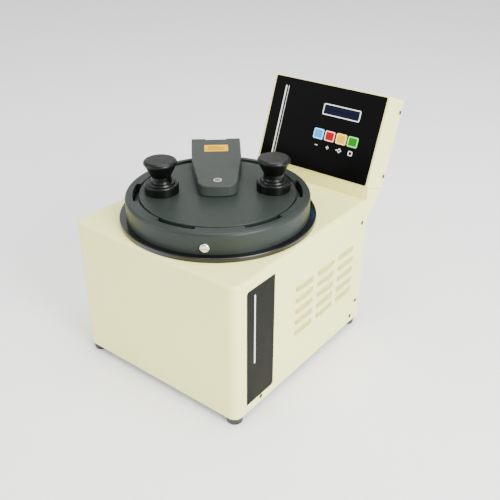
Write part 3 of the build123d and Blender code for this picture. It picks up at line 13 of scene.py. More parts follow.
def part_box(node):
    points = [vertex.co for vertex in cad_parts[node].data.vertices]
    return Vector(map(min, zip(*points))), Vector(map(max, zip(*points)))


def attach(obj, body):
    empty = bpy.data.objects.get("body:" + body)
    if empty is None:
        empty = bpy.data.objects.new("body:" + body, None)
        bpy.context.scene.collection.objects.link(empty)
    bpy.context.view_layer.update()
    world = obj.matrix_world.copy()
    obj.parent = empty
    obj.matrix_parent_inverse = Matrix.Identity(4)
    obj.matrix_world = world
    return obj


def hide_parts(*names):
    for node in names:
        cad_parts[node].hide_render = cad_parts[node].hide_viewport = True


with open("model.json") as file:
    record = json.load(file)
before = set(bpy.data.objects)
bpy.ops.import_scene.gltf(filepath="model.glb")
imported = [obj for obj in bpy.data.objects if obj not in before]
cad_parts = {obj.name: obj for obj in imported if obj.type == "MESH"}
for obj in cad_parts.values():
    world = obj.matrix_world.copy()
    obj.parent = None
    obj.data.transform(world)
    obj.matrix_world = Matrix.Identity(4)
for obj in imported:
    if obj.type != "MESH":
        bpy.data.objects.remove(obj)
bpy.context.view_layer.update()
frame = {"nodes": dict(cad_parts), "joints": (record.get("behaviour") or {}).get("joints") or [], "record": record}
nodes = frame["nodes"]
joints = {joint["name"]: joint for joint in frame["joints"]}
MM = 0.001

# ---------------------------------------------------------------- directions and places from the frame
right = Vector((1, 0, 0))
panel_out = -Vector(joints["plus_press"]["axis"]).normalized()     # out of the console's face
panel_up = panel_out.cross(right)
hinge_at = Vector(joints["lid_hinge"]["pos_m"])
lid_at = Vector(joints["lid_turn"]["pos_m"])
arm_along = hinge_at - lid_at                                       # from the lid to the hinge
arm_along.z = 0
arm_along.normalize()


def span(node, direction):
    """Least and greatest distance of a node's surface along a direction."""
    reach = [corner.co.dot(direction) for corner in nodes[node].data.vertices]
    return min(reach), max(reach)


def middle(node, direction):
    """Half-way along a node in a direction."""
    low, high = span(node, direction)
    return (low + high) / 2


def face(origin, along, up):
    """Matrix of a flat face: local x runs along it, local y up it, and local z out of it."""
    out = along.cross(up)
    turn = Matrix((along, up, out)).transposed().to_4x4()
    return Matrix.Translation(origin) @ turn


# ---------------------------------------------------------------- shader maths
class Wire:
    """A socket of a node tree. Arithmetic on wires adds Math nodes to the tree."""

    def __init__(self, tree, socket=None):
        self.tree = tree
        self.socket = socket

    def node(self, kind, settings=None, sockets=None, output=0):
        """Output of a new node. Settings are set first, then sockets by name or number."""
        made = self.tree.nodes.new(kind)
        for name, value in (settings or {}).items():
            if name == "stops":
                ramp = made.color_ramp.elements
                for index, (place, tint) in enumerate(value):
                    stop = ramp[index] if index < len(ramp) else ramp.new(place)
                    stop.position = place
                    stop.color = (*tint, 1)
            else:
                setattr(made, name, value)
        for name, value in (sockets or {}).items():
            if isinstance(value, Wire):
                self.tree.links.new(value.socket, made.inputs[name])
            else:
                made.inputs[name].default_value = value
        return Wire(self.tree, made.outputs[output])

    def maths(self, operation, first, second=0.0, third=0.0):
        return self.node("ShaderNodeMath", {"operation": operation}, {0: first, 1: second, 2: third})

    def __add__(self, other):
        return self.maths("ADD", self, other)

    def __radd__(self, other):
        return self.maths("ADD", other, self)

    def __sub__(self, other):
        return self.maths("SUBTRACT", self, other)

    def __rsub__(self, other):
        return self.maths("SUBTRACT", other, self)

    def __mul__(self, other):
        return self.maths("MULTIPLY", self, other)

    def __rmul__(self, other):
        return self.maths("MULTIPLY", other, self)

    def __truediv__(self, other):
        return self.maths("DIVIDE", self, other)

    def __pow__(self, other):
        return self.maths("POWER", self, other)

    def __lt__(self, other):
        return self.maths("LESS_THAN", self, other)

    def __gt__(self, other):
        return self.maths("GREATER_THAN", self, other)

    def fraction(self):
        return self.maths("FRACT", self)

    def sine(self):
        return self.maths("SINE", self)

    def axes(self):
        """The three parts of a vector."""
        parts = self.node("ShaderNodeSeparateXYZ", None, {0: self}).socket.node
        return [Wire(self.tree, output) for output in parts.outputs]

    def turned(self, place=(0, 0, 0), turn=(0, 0, 0), scale=(1, 1, 1)):
        sockets = {"Vector": self, "Location": place, "Rotation": turn, "Scale": scale}
        return self.node("ShaderNodeMapping", {"vector_type": "TEXTURE"}, sockets)

    def noise(self, scale, detail=2.0, roughness=0.5):
        sockets = {"Vector": self, "Scale": scale, "Detail": detail, "Roughness": roughness}
        return self.node("ShaderNodeTexNoise", None, sockets)

    def cells(self, scale):
        return self.node("ShaderNodeTexVoronoi", None, {"Vector": self, "Scale": scale})

    def ramp(self, *stops):
        return self.node("ShaderNodeValToRGB", {"stops": stops}, {"Fac": self})

    def mix(self, low, high):
        """A colour between two, by this wire from 0 to 1."""
        low = low if isinstance(low, Wire) else (*low, 1)
        high = high if isinstance(high, Wire) else (*high, 1)
        sockets = {0: self, 6: low, 7: high}
        return self.node("ShaderNodeMix", {"data_type": "RGBA"}, sockets, output=2)

    def bump(self, height_mm, strength=1.0):
        """A normal from this height, whose full swing is height_mm."""
        sockets = {"Height": self, "Distance": height_mm * MM, "Strength": strength}
        return self.node("ShaderNodeBump", None, sockets)


def tint(red, green, blue):
    """Linear colour from screen values of 0 to 255."""
    return tuple((value / 255) ** 2.2 for value in (red, green, blue))


def finish(name, feed, **constants):
    """A material whose Principled shader gets constants, and the wires that feed(place) returns."""
    material = bpy.data.materials.new(name)
    material.use_nodes = True
    tree = material.node_tree
    shader = tree.nodes["Principled BSDF"]
    for socket, value in constants.items():
        shader.inputs[socket.replace("_", " ")].default_value = value
    place = Wire(tree).node("ShaderNodeTexCoord", output=3)
    for socket, value in feed(place).items():
        tree.links.new(value.socket, shader.inputs[socket])
    return material


# ---------------------------------------------------------------- finishes
def enamel(name, paint, shade, roughness=0.38, peel=0.012, glaze=0.5):
    """Stove enamel on sheet steel: faint clouding, orange peel and finger marks in the gloss."""
    def feed(place):
        cloud = place.noise(7, 4)
        speck = place.noise(2600, 1)
        skin = place.noise(420, 2)
        marks = place.noise(28, 5, 0.65)
        colour = (cloud * 0.75 + speck * 0.25).mix(shade, paint)
        return {"Base Color": colour,
                "Roughness": marks * 0.16 + (roughness - 0.08),
                "Normal": (skin * 0.8 + speck * 0.2).bump(peel)}
    return finish(name, feed, Specular_IOR_Level=glaze, Coat_Weight=0.08, Coat_Roughness=0.2)


def turned_metal(name, dark, light, centre, pitch_mm=0.9, metallic=0.35, roughness=0.42, glaze=0.5):
    """Machined and coated metal: fine turning rings about an upright axis, clouding and dust."""
    def feed(place):
        x, y, _ = place.turned(place=(centre.x, centre.y, 0)).axes()
        radius = (x * x + y * y) ** 0.5
        wobble = place.noise(60, 2)
        rings = ((radius * (1000 / pitch_mm) + wobble * 0.6) * (2 * pi)).sine()
        cloud = place.noise(16, 4, 0.6)
        grain = place.noise(1800, 2)
        colour = (cloud * 0.6 + grain * 0.3 + rings * 0.04).mix(dark, light)
        return {"Base Color": colour,
                "Roughness": cloud * 0.14 + rings * 0.03 + (roughness - 0.07),
                "Normal": (rings * 0.35 + grain * 0.65).bump(0.006)}
    return finish(name, feed, Metallic=metallic, Specular_IOR_Level=glaze)


def moulded(name, dark, light, roughness=0.22, grain_mm=0.004, coat=0.5, glaze=0.5):
    """Moulded plastic: flow clouding, rubbed patches in the gloss and a very fine grain."""
    def feed(place):
        flow = place.noise(22, 5, 0.6)
        rubbed = place.noise(75, 3, 0.7)
        grain = place.noise(2200, 2)
        return {"Base Color": (flow * 0.7 + grain * 0.3).mix(dark, light),
                "Roughness": rubbed * 0.18 + (roughness - 0.07),
                "Normal": (grain * 0.7 + rubbed * 0.3).bump(grain_mm)}
    return finish(name, feed, Specular_IOR_Level=glaze, Coat_Weight=coat, Coat_Roughness=0.12)


def drawn_metal(name, dark, light, stretch, roughness=0.3, groove_mm=0.004):
    """Bare metal with fine lines along the axis in which its noise is stretched."""
    def feed(place):
        lines = place.turned(scale=stretch).noise(1, 3, 0.7)
        stain = place.noise(30, 4, 0.6)
        return {"Base Color": (lines * 0.6 + stain * 0.4).mix(dark, light),
                "Roughness": lines * 0.18 + stain * 0.1 + (roughness - 0.14),
                "Normal": lines.bump(groove_mm)}
    return finish(name, feed, Metallic=1.0)


def rubbery(name, dark, light, roughness=0.75):
    """Matt rubber: bloom, dust in patches and a soft pimpled skin."""
    def feed(place):
        bloom = place.noise(55, 4, 0.7)
        pimples = place.cells(900)
        return {"Base Color": (bloom * 0.8 + pimples * 0.2).mix(dark, light),
                "Roughness": bloom * 0.2 + (roughness - 0.1),
                "Normal": (pimples * 0.5 + bloom * 0.5).bump(0.03)}
    return finish(name, feed, Sheen_Weight=0.15)


def felt(name, dark, light):
    """Pressed mineral wool: matted fibres, and painted shade that darkens the hollows, its colour taken from the
    bump height.
    """
    def feed(place):
        tufts = place.noise(140, 6, 0.75)
        fibres = place.turned(scale=(0.004, 0.0009, 0.004)).noise(1, 4, 0.8)
        height = tufts * 0.6 + fibres * 0.4
        # painted shade: the colour ramp runs dark in the low hollows of the bump height and light on its crests
        return {"Base Color": height.ramp((0.3, dark), (0.72, light)),
                "Roughness": tufts * 0.1 + 0.85,
                "Normal": height.bump(0.9)}
    return finish(name, feed, Sheen_Weight=0.4)


def circuit(name):
    """Solder mask over copper tracks, with bare pads in rows."""
    def feed(place):
        x, _, z = place.axes()
        track = ((x * 320 + place.cells(110) * 0.9).fraction() < 0.22) * 0.55
        pads_x = (x * 394).fraction() - 0.5
        pads_z = (z * 394).fraction() - 0.5
        pads = (pads_x * pads_x + pads_z * pads_z) < 0.045
        mask = track.mix(tint(12, 74, 40), tint(38, 116, 66))
        return {"Base Color": pads.mix(mask, tint(196, 180, 120)),
                "Roughness": 0.34 + place.noise(90, 3) * 0.16,
                "Normal": (track + pads * 0.6).bump(0.03)}
    return finish(name, feed, Coat_Weight=0.3)


def foil(name, dark, light, roughness=0.33, glaze=0.3):
    """Printed polyester foil with a fine embossed grain."""
    def feed(place):
        grain = place.cells(1500)
        cloud = place.noise(12, 3)
        return {"Base Color": (cloud * 0.6 + grain * 0.4).mix(dark, light),
                "Roughness": cloud * 0.12 + grain * 0.08 + (roughness - 0.08),
                "Normal": grain.bump(0.01)}
    return finish(name, feed, Specular_IOR_Level=glaze)


def display_face(name):
    """Window over a two-line character display: dim cells behind tinted plastic."""
    left, wide = span("display_window", right)
    low, high = span("display_window", panel_up)
    columns, rows = 16, 2
    width, height = wide - left, high - low

    def feed(place):
        x, y, z = place.axes()
        up = y * panel_up.y + z * panel_up.z
        across = (x - left) / width
        rise = (up - low) / height
        column = (across * columns).fraction()
        row = (rise * rows).fraction()
        in_column = (column > 0.14) * (column < 0.86)
        in_row = (row > 0.16) * (row < 0.84)
        dots = ((across * columns * 7).fraction() > 0.2) * ((rise * rows * 10).fraction() > 0.2)
        cell = in_column * in_row * (0.45 + dots * 0.55)
        smear = place.noise(70, 4, 0.6)
        return {"Base Color": (cell * 0.25 + smear * 0.1).mix(tint(0, 8, 26), tint(8, 30, 62)),
                "Roughness": smear * 0.12 + 0.08,
                "Normal": smear.bump(0.004)}
    return finish(name, feed, Specular_IOR_Level=0.05)


upright_lines = (0.0006, 0.0006, 0.05)
cross_lines = (0.05, 0.0006, 0.0006)
finishes = {
    "cream_enamel": enamel("cream_enamel", tint(244, 242, 160), tint(238, 235, 148), glaze=0.3),
    "black_rubber": rubbery("black_rubber", tint(20, 20, 19), tint(44, 43, 41)),
    "zinc_steel": drawn_metal("zinc_steel", tint(138, 140, 136), tint(188, 190, 186), cross_lines, 0.4),
    "dark_screw": drawn_metal("dark_screw", tint(58, 58, 54), tint(92, 92, 88), upright_lines, 0.4),
    "dark_panel": foil("dark_panel", tint(10, 12, 8), tint(17, 19, 14), 0.42, glaze=0.08),
    "black_foil": foil("black_foil", tint(4, 5, 3), tint(8, 10, 7), 0.42, glaze=0.05),
    "display_glass": display_face("display_glass"),
    "circuit_board": circuit("circuit_board"),
    "nylon": moulded("nylon", tint(196, 192, 178), tint(222, 218, 204), 0.45, coat=0.05),
    "key_cyan": foil("key_cyan", tint(0, 142, 222), tint(0, 164, 238), glaze=0.05),
    "key_red": foil("key_red", tint(148, 0, 10), tint(172, 0, 16), glaze=0.05),
    "key_yellow": foil("key_yellow", tint(214, 160, 0), tint(232, 182, 0), glaze=0.05),
    "key_green": foil("key_green", tint(0, 112, 0), tint(8, 134, 0), glaze=0.05),
    "black_enamel": enamel("black_enamel", tint(20, 22, 21), tint(12, 13, 13), 0.2, 0.006),
    "dark_cast": turned_metal("dark_cast", tint(38, 44, 41), tint(51, 57, 53), lid_at,
                              metallic=0.2, glaze=0.25),
    "chrome": drawn_metal("chrome", tint(205, 203, 198), tint(232, 230, 226), upright_lines, 0.16, 0.001),
    "stainless": turned_metal("stainless", tint(150, 152, 152), tint(196, 198, 198), lid_at, 0.6, 1.0, 0.3),
    "mineral_wool": felt("mineral_wool", tint(150, 140, 104), tint(216, 207, 172)),
    "silicone_seal": rubbery("silicone_seal", tint(168, 84, 52), tint(196, 106, 70), 0.55),
    "bronze": drawn_metal("bronze", tint(140, 100, 58), tint(188, 142, 88), upright_lines, 0.4, 0.006),
    "brass": drawn_metal("brass", tint(176, 142, 74), tint(216, 184, 112), cross_lines, 0.28),
    "aluminium": drawn_metal("aluminium", tint(170, 172, 175), tint(206, 208, 211), cross_lines, 0.35),
    "arm_enamel": enamel("arm_enamel", tint(54, 59, 54), tint(46, 51, 47), 0.5, 0.016, glaze=0.2),
    "yellow_label": foil("yellow_label", tint(214, 160, 0), tint(226, 178, 4), 0.4, glaze=0.1),
    "black_plastic": moulded("black_plastic", tint(6, 8, 7), tint(14, 17, 14), 0.34, coat=0.1, glaze=0.2),
    "grey_cable": moulded("grey_cable", tint(112, 113, 115), tint(140, 141, 143), 0.5, coat=0.0),
    "blue_hose": moulded("blue_hose", tint(24, 62, 138), tint(38, 84, 168), 0.25),
}
pale_print = foil("pale_print", tint(214, 216, 208), tint(232, 234, 226), 0.45)
grey_print = foil("grey_print", tint(96, 84, 40), tint(112, 98, 48), 0.45)

slots = {row["node"]: row["material_slot"] for row in frame["record"]["subparts"]}
for node, piece in nodes.items():
    piece.data.materials.clear()
    piece.data.materials.append(finishes[slots[node]])


# ---------------------------------------------------------------- meshes
def piece_from(name, mesh, material, body):
    """An object at the origin from a mesh that is already in place."""
    mesh.materials.clear()
    mesh.materials.append(material)
    piece = bpy.data.objects.new(name, mesh)
    bpy.context.scene.collection.objects.link(piece)
    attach(piece, body)
    return piece


def rounded(width, height, radius, centre=(0, 0), steps=6):
    """Points of a rounded rectangle, counterclockwise."""
    points = []
    for quarter, (sx, sy) in enumerate(((1, 1), (-1, 1), (-1, -1), (1, -1))):
        for step in range(steps + 1):
            angle = (quarter + step / steps) * pi / 2
            x = centre[0] + sx * (width / 2 - radius) + radius * cos(angle)
            y = centre[1] + sy * (height / 2 - radius) + radius * sin(angle)
            points.append((x, y))
    return points


def printed(name, loops, place, material, body, thickness=0.00012):
    """A thin print on a face, from closed loops; a loop inside another is a hole."""
    outline = bpy.data.curves.new(name, "CURVE")
    outline.dimensions = "2D"
    outline.fill_mode = "BOTH"
    outline.extrude = thickness / 2
    for loop in loops:
        spline = outline.splines.new("POLY")
        spline.points.add(len(loop) - 1)
        for point, (x, y) in zip(spline.points, loop):
            point.co = (x, y, 0, 1)
        spline.use_cyclic_u = True
    holder = bpy.data.objects.new(name + "_outline", outline)
    bpy.context.scene.collection.objects.link(holder)
    bpy.context.view_layer.update()
    mesh = bpy.data.meshes.new_from_object(holder.evaluated_get(bpy.context.evaluated_depsgraph_get()))
    bpy.data.objects.remove(holder)
    bpy.data.curves.remove(outline)
    mesh.transform(place @ Matrix.Translation((0, 0, thickness / 2)))
    mesh.name = name
    return piece_from(name, mesh, material, body)


# ---------------------------------------------------------------- console graphics
overlay_face = span("control_overlay", panel_out)[1]
panel_face = face(panel_out * overlay_face, right, panel_up)
overlay_left, overlay_right = span("control_overlay", right)
overlay_low, overlay_high = span("control_overlay", panel_up)

outline_width, outline_height, outline_corner = 0.0705, 0.0185, 0.0028
opening_width, opening_height, opening_corner = 0.0668, 0.0152, 0.0012
window_at = (middle("display_window", right), middle("display_window", panel_up))
printed("display_outline",
        [rounded(outline_width, outline_height, outline_corner, window_at),
         rounded(opening_width, opening_height, opening_corner, window_at)],
        panel_face, pale_print, "root")

# two plain rules up the panel's left side
rule_inset, rule_foot_gap, rule_top_gap = 0.0235, 0.010, 0.014
rule_low, rule_high = overlay_low + rule_foot_gap, overlay_high - rule_top_gap
rule_rows = (("console_rule", 0, 0.0026), ("console_thin_rule", 0.0052, 0.0008))
for rule_name, rule_offset, rule_width in rule_rows:
    rule_at = (overlay_left + rule_inset + rule_offset, (rule_low + rule_high) / 2)
    printed(rule_name, [rounded(rule_width, rule_high - rule_low, rule_width * 0.45, rule_at)],
            panel_face, pale_print, "root")

symbol_drop = 0.0189           # symbols' centre line below the keys' centres
minus_length, stroke = 0.0052, 0.0012
plus_arm = 0.003
diamond_outer, diamond_inner, diamond_shift = 0.0042, 0.0026, 0.001
tip_reach, tip_root, tip_half = 0.0062, 0.0034, 0.0014
square_outer, square_outer_corner = 0.0078, 0.0016
square_inner, square_inner_corner = 0.0050, 0.0008
rim_width, rim_height, rim_line = 0.0182, 0.0164, 0.0015
rim_corner, rim_inner_corner = 0.0024, 0.0018
key_slots = {"minus_key": "key_cyan", "plus_key": "key_red",
             "start_key": "key_yellow", "stop_key": "key_green"}
key_rims = {
    "minus_key": foil("cyan_rim", tint(176, 224, 240), tint(196, 236, 248)),
    "plus_key": foil("red_rim", tint(240, 200, 204), tint(250, 216, 218)),
    "start_key": foil("yellow_rim", tint(252, 238, 170), tint(255, 245, 190)),
    "stop_key": foil("green_rim", tint(170, 222, 158), tint(190, 236, 178)),
}


def bar(width, height, centre):
    """Points of a bar with slightly rounded corners."""
    return rounded(width, height, min(width, height) * 0.2, centre, 2)


def plus_corners(x, y, arm, half):
    """Twelve corners of a plus sign, counterclockwise."""
    corners = []
    for across, up in ((1, 0), (0, 1), (-1, 0), (0, -1)):
        for out, side in ((arm, -half), (arm, half), (half, half)):
            corners.append((x + out * across - side * up, y + out * up + side * across))
    return corners


def symbol_loops(key, x, y):
    """Closed loops of the mark under a key."""
    if key == "minus_key":
        return [bar(minus_length, stroke, (x, y))]
    if key == "plus_key":
        return [plus_corners(x, y, plus_arm, stroke / 2)]
    if key == "start_key":
        centre = x + diamond_shift
        diamonds = [[(centre + size, y), (centre, y + size), (centre - size, y), (centre, y - size)]
                    for size in (diamond_outer, diamond_inner)]
        tip = [(x - tip_reach, y), (x - tip_root, y + tip_half), (x - tip_root, y - tip_half)]
        return [*diamonds, tip]
    return [rounded(square_outer, square_outer, square_outer_corner, (x, y)),
            rounded(square_inner, square_inner, square_inner_corner, (x, y))]


for key, key_slot in key_slots.items():
    key_x, key_y = middle(key, right), middle(key, panel_up)
    key_top = face(panel_out * span(key, panel_out)[1], right, panel_up)
    printed(key + "_rim",
            [rounded(rim_width, rim_height, rim_corner, (key_x, key_y)),
             rounded(rim_width - 2 * rim_line, rim_height - 2 * rim_line, rim_inner_corner, (key_x, key_y))],
            key_top, key_rims[key], key)
    printed(key.replace("key", "mark"), symbol_loops(key, key_x, key_y - symbol_drop),
            panel_face, pale_print, "root")

# ---------------------------------------------------------------- labels
label_low, label_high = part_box("side_label_plate")
label_face = face(Vector((label_high.x, 0, 0)), Vector((0, 1, 0)), Vector((0, 0, 1)))
label_rule_width, label_rule_length, label_rule_corner = 0.0028, 0.118, 0.001
label_rule_inset, label_rule_drop = 0.0173, 0.070
printed("side_label_rule",
        [rounded(label_rule_width, label_rule_length, label_rule_corner,
                 (label_low.y + label_rule_inset, label_high.z - label_rule_drop))],
        label_face, pale_print, "root")

arm_top = span("caution_label", Vector((0, 0, 1)))[1]
arm_cross = arm_along.cross(Vector((0, 0, 1)))
caution_face = face(Vector((0, 0, arm_top)), arm_cross, -arm_along)
caution_x = middle("caution_label", arm_cross)
caution_y = middle("caution_label", -arm_along)
caution_stroke = 0.0016
caution_rows = ((0.030, 0, 0.0085), (0.026, -0.002, 0.0035), (0.030, 0, -0.0015), (0.018, -0.006, -0.0065))
caution_bars = [bar(width, caution_stroke, (caution_x + shift, caution_y + rise))
                for width, shift, rise in caution_rows]
printed("caution_lines", caution_bars, caution_face, grey_print, "lid_arm")


# ---------------------------------------------------------------- repeated pieces by Geometry Nodes
def node_group(name, inputs):
    """An empty geometry tree with a geometry input, named inputs and a geometry output."""
    group = bpy.data.node_groups.new(name, "GeometryNodeTree")
    group.interface.new_socket("Geometry", in_out="INPUT", socket_type="NodeSocketGeometry")
    for label, kind in inputs:
        group.interface.new_socket(label, in_out="INPUT", socket_type=kind)
    group.interface.new_socket("Geometry", in_out="OUTPUT", socket_type="NodeSocketGeometry")
    return group


def scatter_tree():
    """Copies of a unit piece on the base mesh's points, turned by its turn attribute."""
    group = node_group("unit_on_points", [("Unit", "NodeSocketObject"), ("Scale", "NodeSocketFloat"),
                                          ("Finish", "NodeSocketMaterial")])
    add = group.nodes.new
    link = group.links.new
    entry, leave = add("NodeGroupInput"), add("NodeGroupOutput")
    unit = add("GeometryNodeObjectInfo")
    turn = add("GeometryNodeInputNamedAttribute")
    turn.data_type = "FLOAT_VECTOR"
    turn.inputs["Name"].default_value = "turn"
    copies = add("GeometryNodeInstanceOnPoints")
    real = add("GeometryNodeRealizeInstances")
    paint = add("GeometryNodeSetMaterial")
    link(entry.outputs["Unit"], unit.inputs["Object"])
    link(entry.outputs["Geometry"], copies.inputs["Points"])
    link(unit.outputs["Geometry"], copies.inputs["Instance"])
    link(turn.outputs["Attribute"], copies.inputs["Rotation"])
    link(entry.outputs["Scale"], copies.inputs["Scale"])
    link(copies.outputs["Instances"], real.inputs["Geometry"])
    link(real.outputs["Geometry"], paint.inputs["Geometry"])
    link(entry.outputs["Finish"], paint.inputs["Material"])
    link(paint.outputs["Geometry"], leave.inputs["Geometry"])
    return group


def grid_tree():
    """A grid of a unit piece, by columns, rows and their pitches, for the louvre hoods."""
    group = node_group("unit_grid", [("Unit", "NodeSocketObject"), ("Columns", "NodeSocketInt"),
                                     ("Rows", "NodeSocketInt"), ("Column pitch", "NodeSocketFloat"),
                                     ("Row pitch", "NodeSocketFloat"), ("Finish", "NodeSocketMaterial")])
    add = group.nodes.new
    link = group.links.new
    entry, leave = add("NodeGroupInput"), add("NodeGroupOutput")
    unit = add("GeometryNodeObjectInfo")
    grid = add("GeometryNodeMeshGrid")
    for label, pitch, size in (("Columns", "Column pitch", "Size X"), ("Rows", "Row pitch", "Size Y")):
        gaps = add("ShaderNodeMath")
        gaps.operation = "SUBTRACT"
        gaps.inputs[1].default_value = 1
        reach = add("ShaderNodeMath")
        reach.operation = "MULTIPLY"
        link(entry.outputs[label], gaps.inputs[0])
        link(gaps.outputs[0], reach.inputs[0])
        link(entry.outputs[pitch], reach.inputs[1])
        link(reach.outputs[0], grid.inputs[size])
    link(entry.outputs["Columns"], grid.inputs["Vertices X"])
    link(entry.outputs["Rows"], grid.inputs["Vertices Y"])
    copies = add("GeometryNodeInstanceOnPoints")
    real = add("GeometryNodeRealizeInstances")
    paint = add("GeometryNodeSetMaterial")
    link(entry.outputs["Unit"], unit.inputs["Object"])
    link(grid.outputs["Mesh"], copies.inputs["Points"])
    link(unit.outputs["Geometry"], copies.inputs["Instance"])
    link(copies.outputs["Instances"], real.inputs["Geometry"])
    link(real.outputs["Geometry"], paint.inputs["Geometry"])
    link(entry.outputs["Finish"], paint.inputs["Material"])
    link(paint.outputs["Geometry"], leave.inputs["Geometry"])
    return group


def grown(name, base, group, values):
    """The mesh that a geometry tree makes of a base mesh, with its inputs set by identifier."""
    holder = bpy.data.objects.new(name + "_base", base)
    modifier = holder.modifiers.new("grow", "NODES")
    modifier.node_group = group
    identifiers = {item.name: item.identifier for item in group.interface.items_tree
                   if item.in_out == "INPUT"}
    for label, value in values.items():
        modifier[identifiers[label]] = value
    bpy.context.scene.collection.objects.link(holder)
    bpy.context.view_layer.update()
    mesh = bpy.data.meshes.new_from_object(holder.evaluated_get(bpy.context.evaluated_depsgraph_get()))
    holder.modifiers.remove(modifier)
    bpy.data.objects.remove(holder)
    mesh.name = name
    return mesh


def unit_object(name, shape):
    """A hidden object that a geometry tree copies."""
    mesh = bpy.data.meshes.new(name)
    shape.normal_update()
    shape.to_mesh(mesh)
    shape.free()
    return bpy.data.objects.new(name, mesh)


def louvre_hood(length, height, reach, steps=10, rises=6):
    """A pressed hood over one air slot: closed above and at its rounded ends, open below."""
    shape = bmesh.new()
    rows = []
    for step in range(steps + 1):
        along = -1 + 2 * step / steps
        swell = max(0.0, 1 - abs(along) ** 6) ** 0.5
        row = []
        for rise in range(rises + 1):
            lean = rise / rises
            out = reach * swell * cos(lean * pi / 2) ** 0.7 if rise < rises else 0
            row.append(shape.verts.new((along * length / 2, height * (lean - 0.35), out)))
        rows.append(row)
    for first, second in zip(rows, rows[1:]):
        for rise in range(rises):
            shape.faces.new((first[rise], second[rise], second[rise + 1], first[rise + 1]))
    for polygon in shape.faces:
        polygon.smooth = True
    bmesh.ops.solidify(shape, geom=shape.faces[:], thickness=hood_wall)
    bmesh.ops.recalc_face_normals(shape, faces=shape.faces[:])
    return shape


def cross_head(steps=24):
    """A pan screw head of unit radius with a cross recess, standing on z = 0."""
    shape = bmesh.new()
    levels = ((1.0, 0.0), (1.0, 0.16), (0.93, 0.28), (0.74, 0.36), (0.52, 0.39))
    angles = [2 * pi * k / steps for k in range(steps)]
    rings = [[shape.verts.new((radius * cos(angle), radius * sin(angle), height)) for angle in angles]
             for radius, height in levels]
    star = []
    for angle in angles:
        lobe = abs(cos(2 * angle))
        radius = 0.16 + 0.32 * lobe ** 4
        star.append((radius * cos(angle), radius * sin(angle)))
    rings.append([shape.verts.new((x, y, 0.395)) for x, y in star])
    rings.append([shape.verts.new((x * 0.82, y * 0.82, 0.12)) for x, y in star])
    for low, high in zip(rings, rings[1:]):
        for k in range(steps):
            other = (k + 1) % steps
            shape.faces.new((low[k], low[other], high[other], high[k]))
    shape.faces.new(rings[-1])
    shape.faces.new(list(reversed(rings[0])))
    bmesh.ops.recalc_face_normals(shape, faces=shape.faces[:])
    for polygon in shape.faces:
        polygon.smooth = len(polygon.verts) == 4
    return shape


grid_group = grid_tree()
scatter_group = scatter_tree()

# louvre hoods over the air slots of both sides
cover_low, cover_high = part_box("housing_cover")
hood_wall = 0.6 * MM
hood_length, hood_height, hood_reach = 0.047, 0.0075, 0.0022
hood_columns, hood_column_pitch = 3, 0.060
hood_rows, hood_row_pitch = 5, 0.020
hood_set_back, hood_rise = 0.228, 0.1148       # the grid's middle from the cover's front and lower edge
hood_unit = unit_object("hood_unit", louvre_hood(hood_length, hood_height, hood_reach))
hood_middle = Vector((0, cover_low.y + hood_set_back, cover_low.z + hood_rise))
for side, label in ((1, "right"), (-1, "left")):
    hoods = grown(f"louvre_hoods_{label}", bpy.data.meshes.new("hood_base"), grid_group,
                  {"Unit": hood_unit, "Columns": hood_columns, "Rows": hood_rows,
                   "Column pitch": hood_column_pitch, "Row pitch": hood_row_pitch,
                   "Finish": finishes["cream_enamel"]})
    wall = face(Vector((side * cover_high.x, hood_middle.y, hood_middle.z)),
                Vector((0, side, 0)), Vector((0, 0, 1)))
    hoods.transform(wall)
    piece_from(f"louvre_hoods_{label}", hoods, finishes["cream_enamel"], "root")

# cross-head screws of the casing, and two that hold the mains inlet
screw_unit = unit_object("screw_unit", cross_head())


def screw_mesh(name, spots, radius, material):
    """Screw heads on points, each turned to face out of its own surface."""
    base = bpy.data.meshes.new(name + "_points")
    base.from_pydata([spot for spot, _, _ in spots], [], [])
    turns = base.attributes.new("turn", "FLOAT_VECTOR", "POINT")
    for index, (_, out, twist) in enumerate(spots):
        turn = out.to_track_quat("Z", "Y").to_matrix() @ Matrix.Rotation(twist, 3, "Z")
        turns.data[index].vector = turn.to_euler()
    return grown(name, base, scatter_group, {"Unit": screw_unit, "Scale": radius, "Finish": material})


def island_tops(node, is_out):
    """Middle of each separate screw head of a node, with the direction that it faces."""
    shape = bmesh.new()
    shape.from_mesh(nodes[node].data)
    bmesh.ops.remove_doubles(shape, verts=shape.verts[:], dist=1e-6)
    found, seen = [], set()
    for start in shape.verts:
        if start in seen:
            continue
        island, queue = [], [start]
        seen.add(start)
        while queue:
            corner = queue.pop()
            island.append(corner.co.copy())
            for edge in corner.link_edges:
                other = edge.other_vert(corner)
                if other not in seen:
                    seen.add(other)
                    queue.append(other)
        found.append(is_out(island))
    shape.free()
    return found


screw_head_height = 1.3 * MM
screw_head_radius = 3.4 * MM
side_band = 0.012              # a screw nearer to a side than this faces out of it


def head_seat(island):
    """Seat of a screw's head: its face looks to the nearer side, or up out of the console's floor."""
    centre = sum(island, Vector()) / len(island)
    if abs(centre.x) > cover_high.x - side_band:
        out = Vector((1 if centre.x > 0 else -1, 0, 0))
    else:
        out = panel_up
    top = max(corner.dot(out) for corner in island)
    return centre + out * (top - screw_head_height - centre.dot(out)), out


casing_spots = []
for index, (seat, out) in enumerate(island_tops("casing_screws", head_seat)):
    casing_spots.append((seat, out, 0.7 * index))
heads = screw_mesh("casing_screw_heads", casing_spots, screw_head_radius, finishes["dark_screw"])
casing_heads = piece_from("casing_screw_heads", heads, finishes["dark_screw"], "root")
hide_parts("casing_screws")

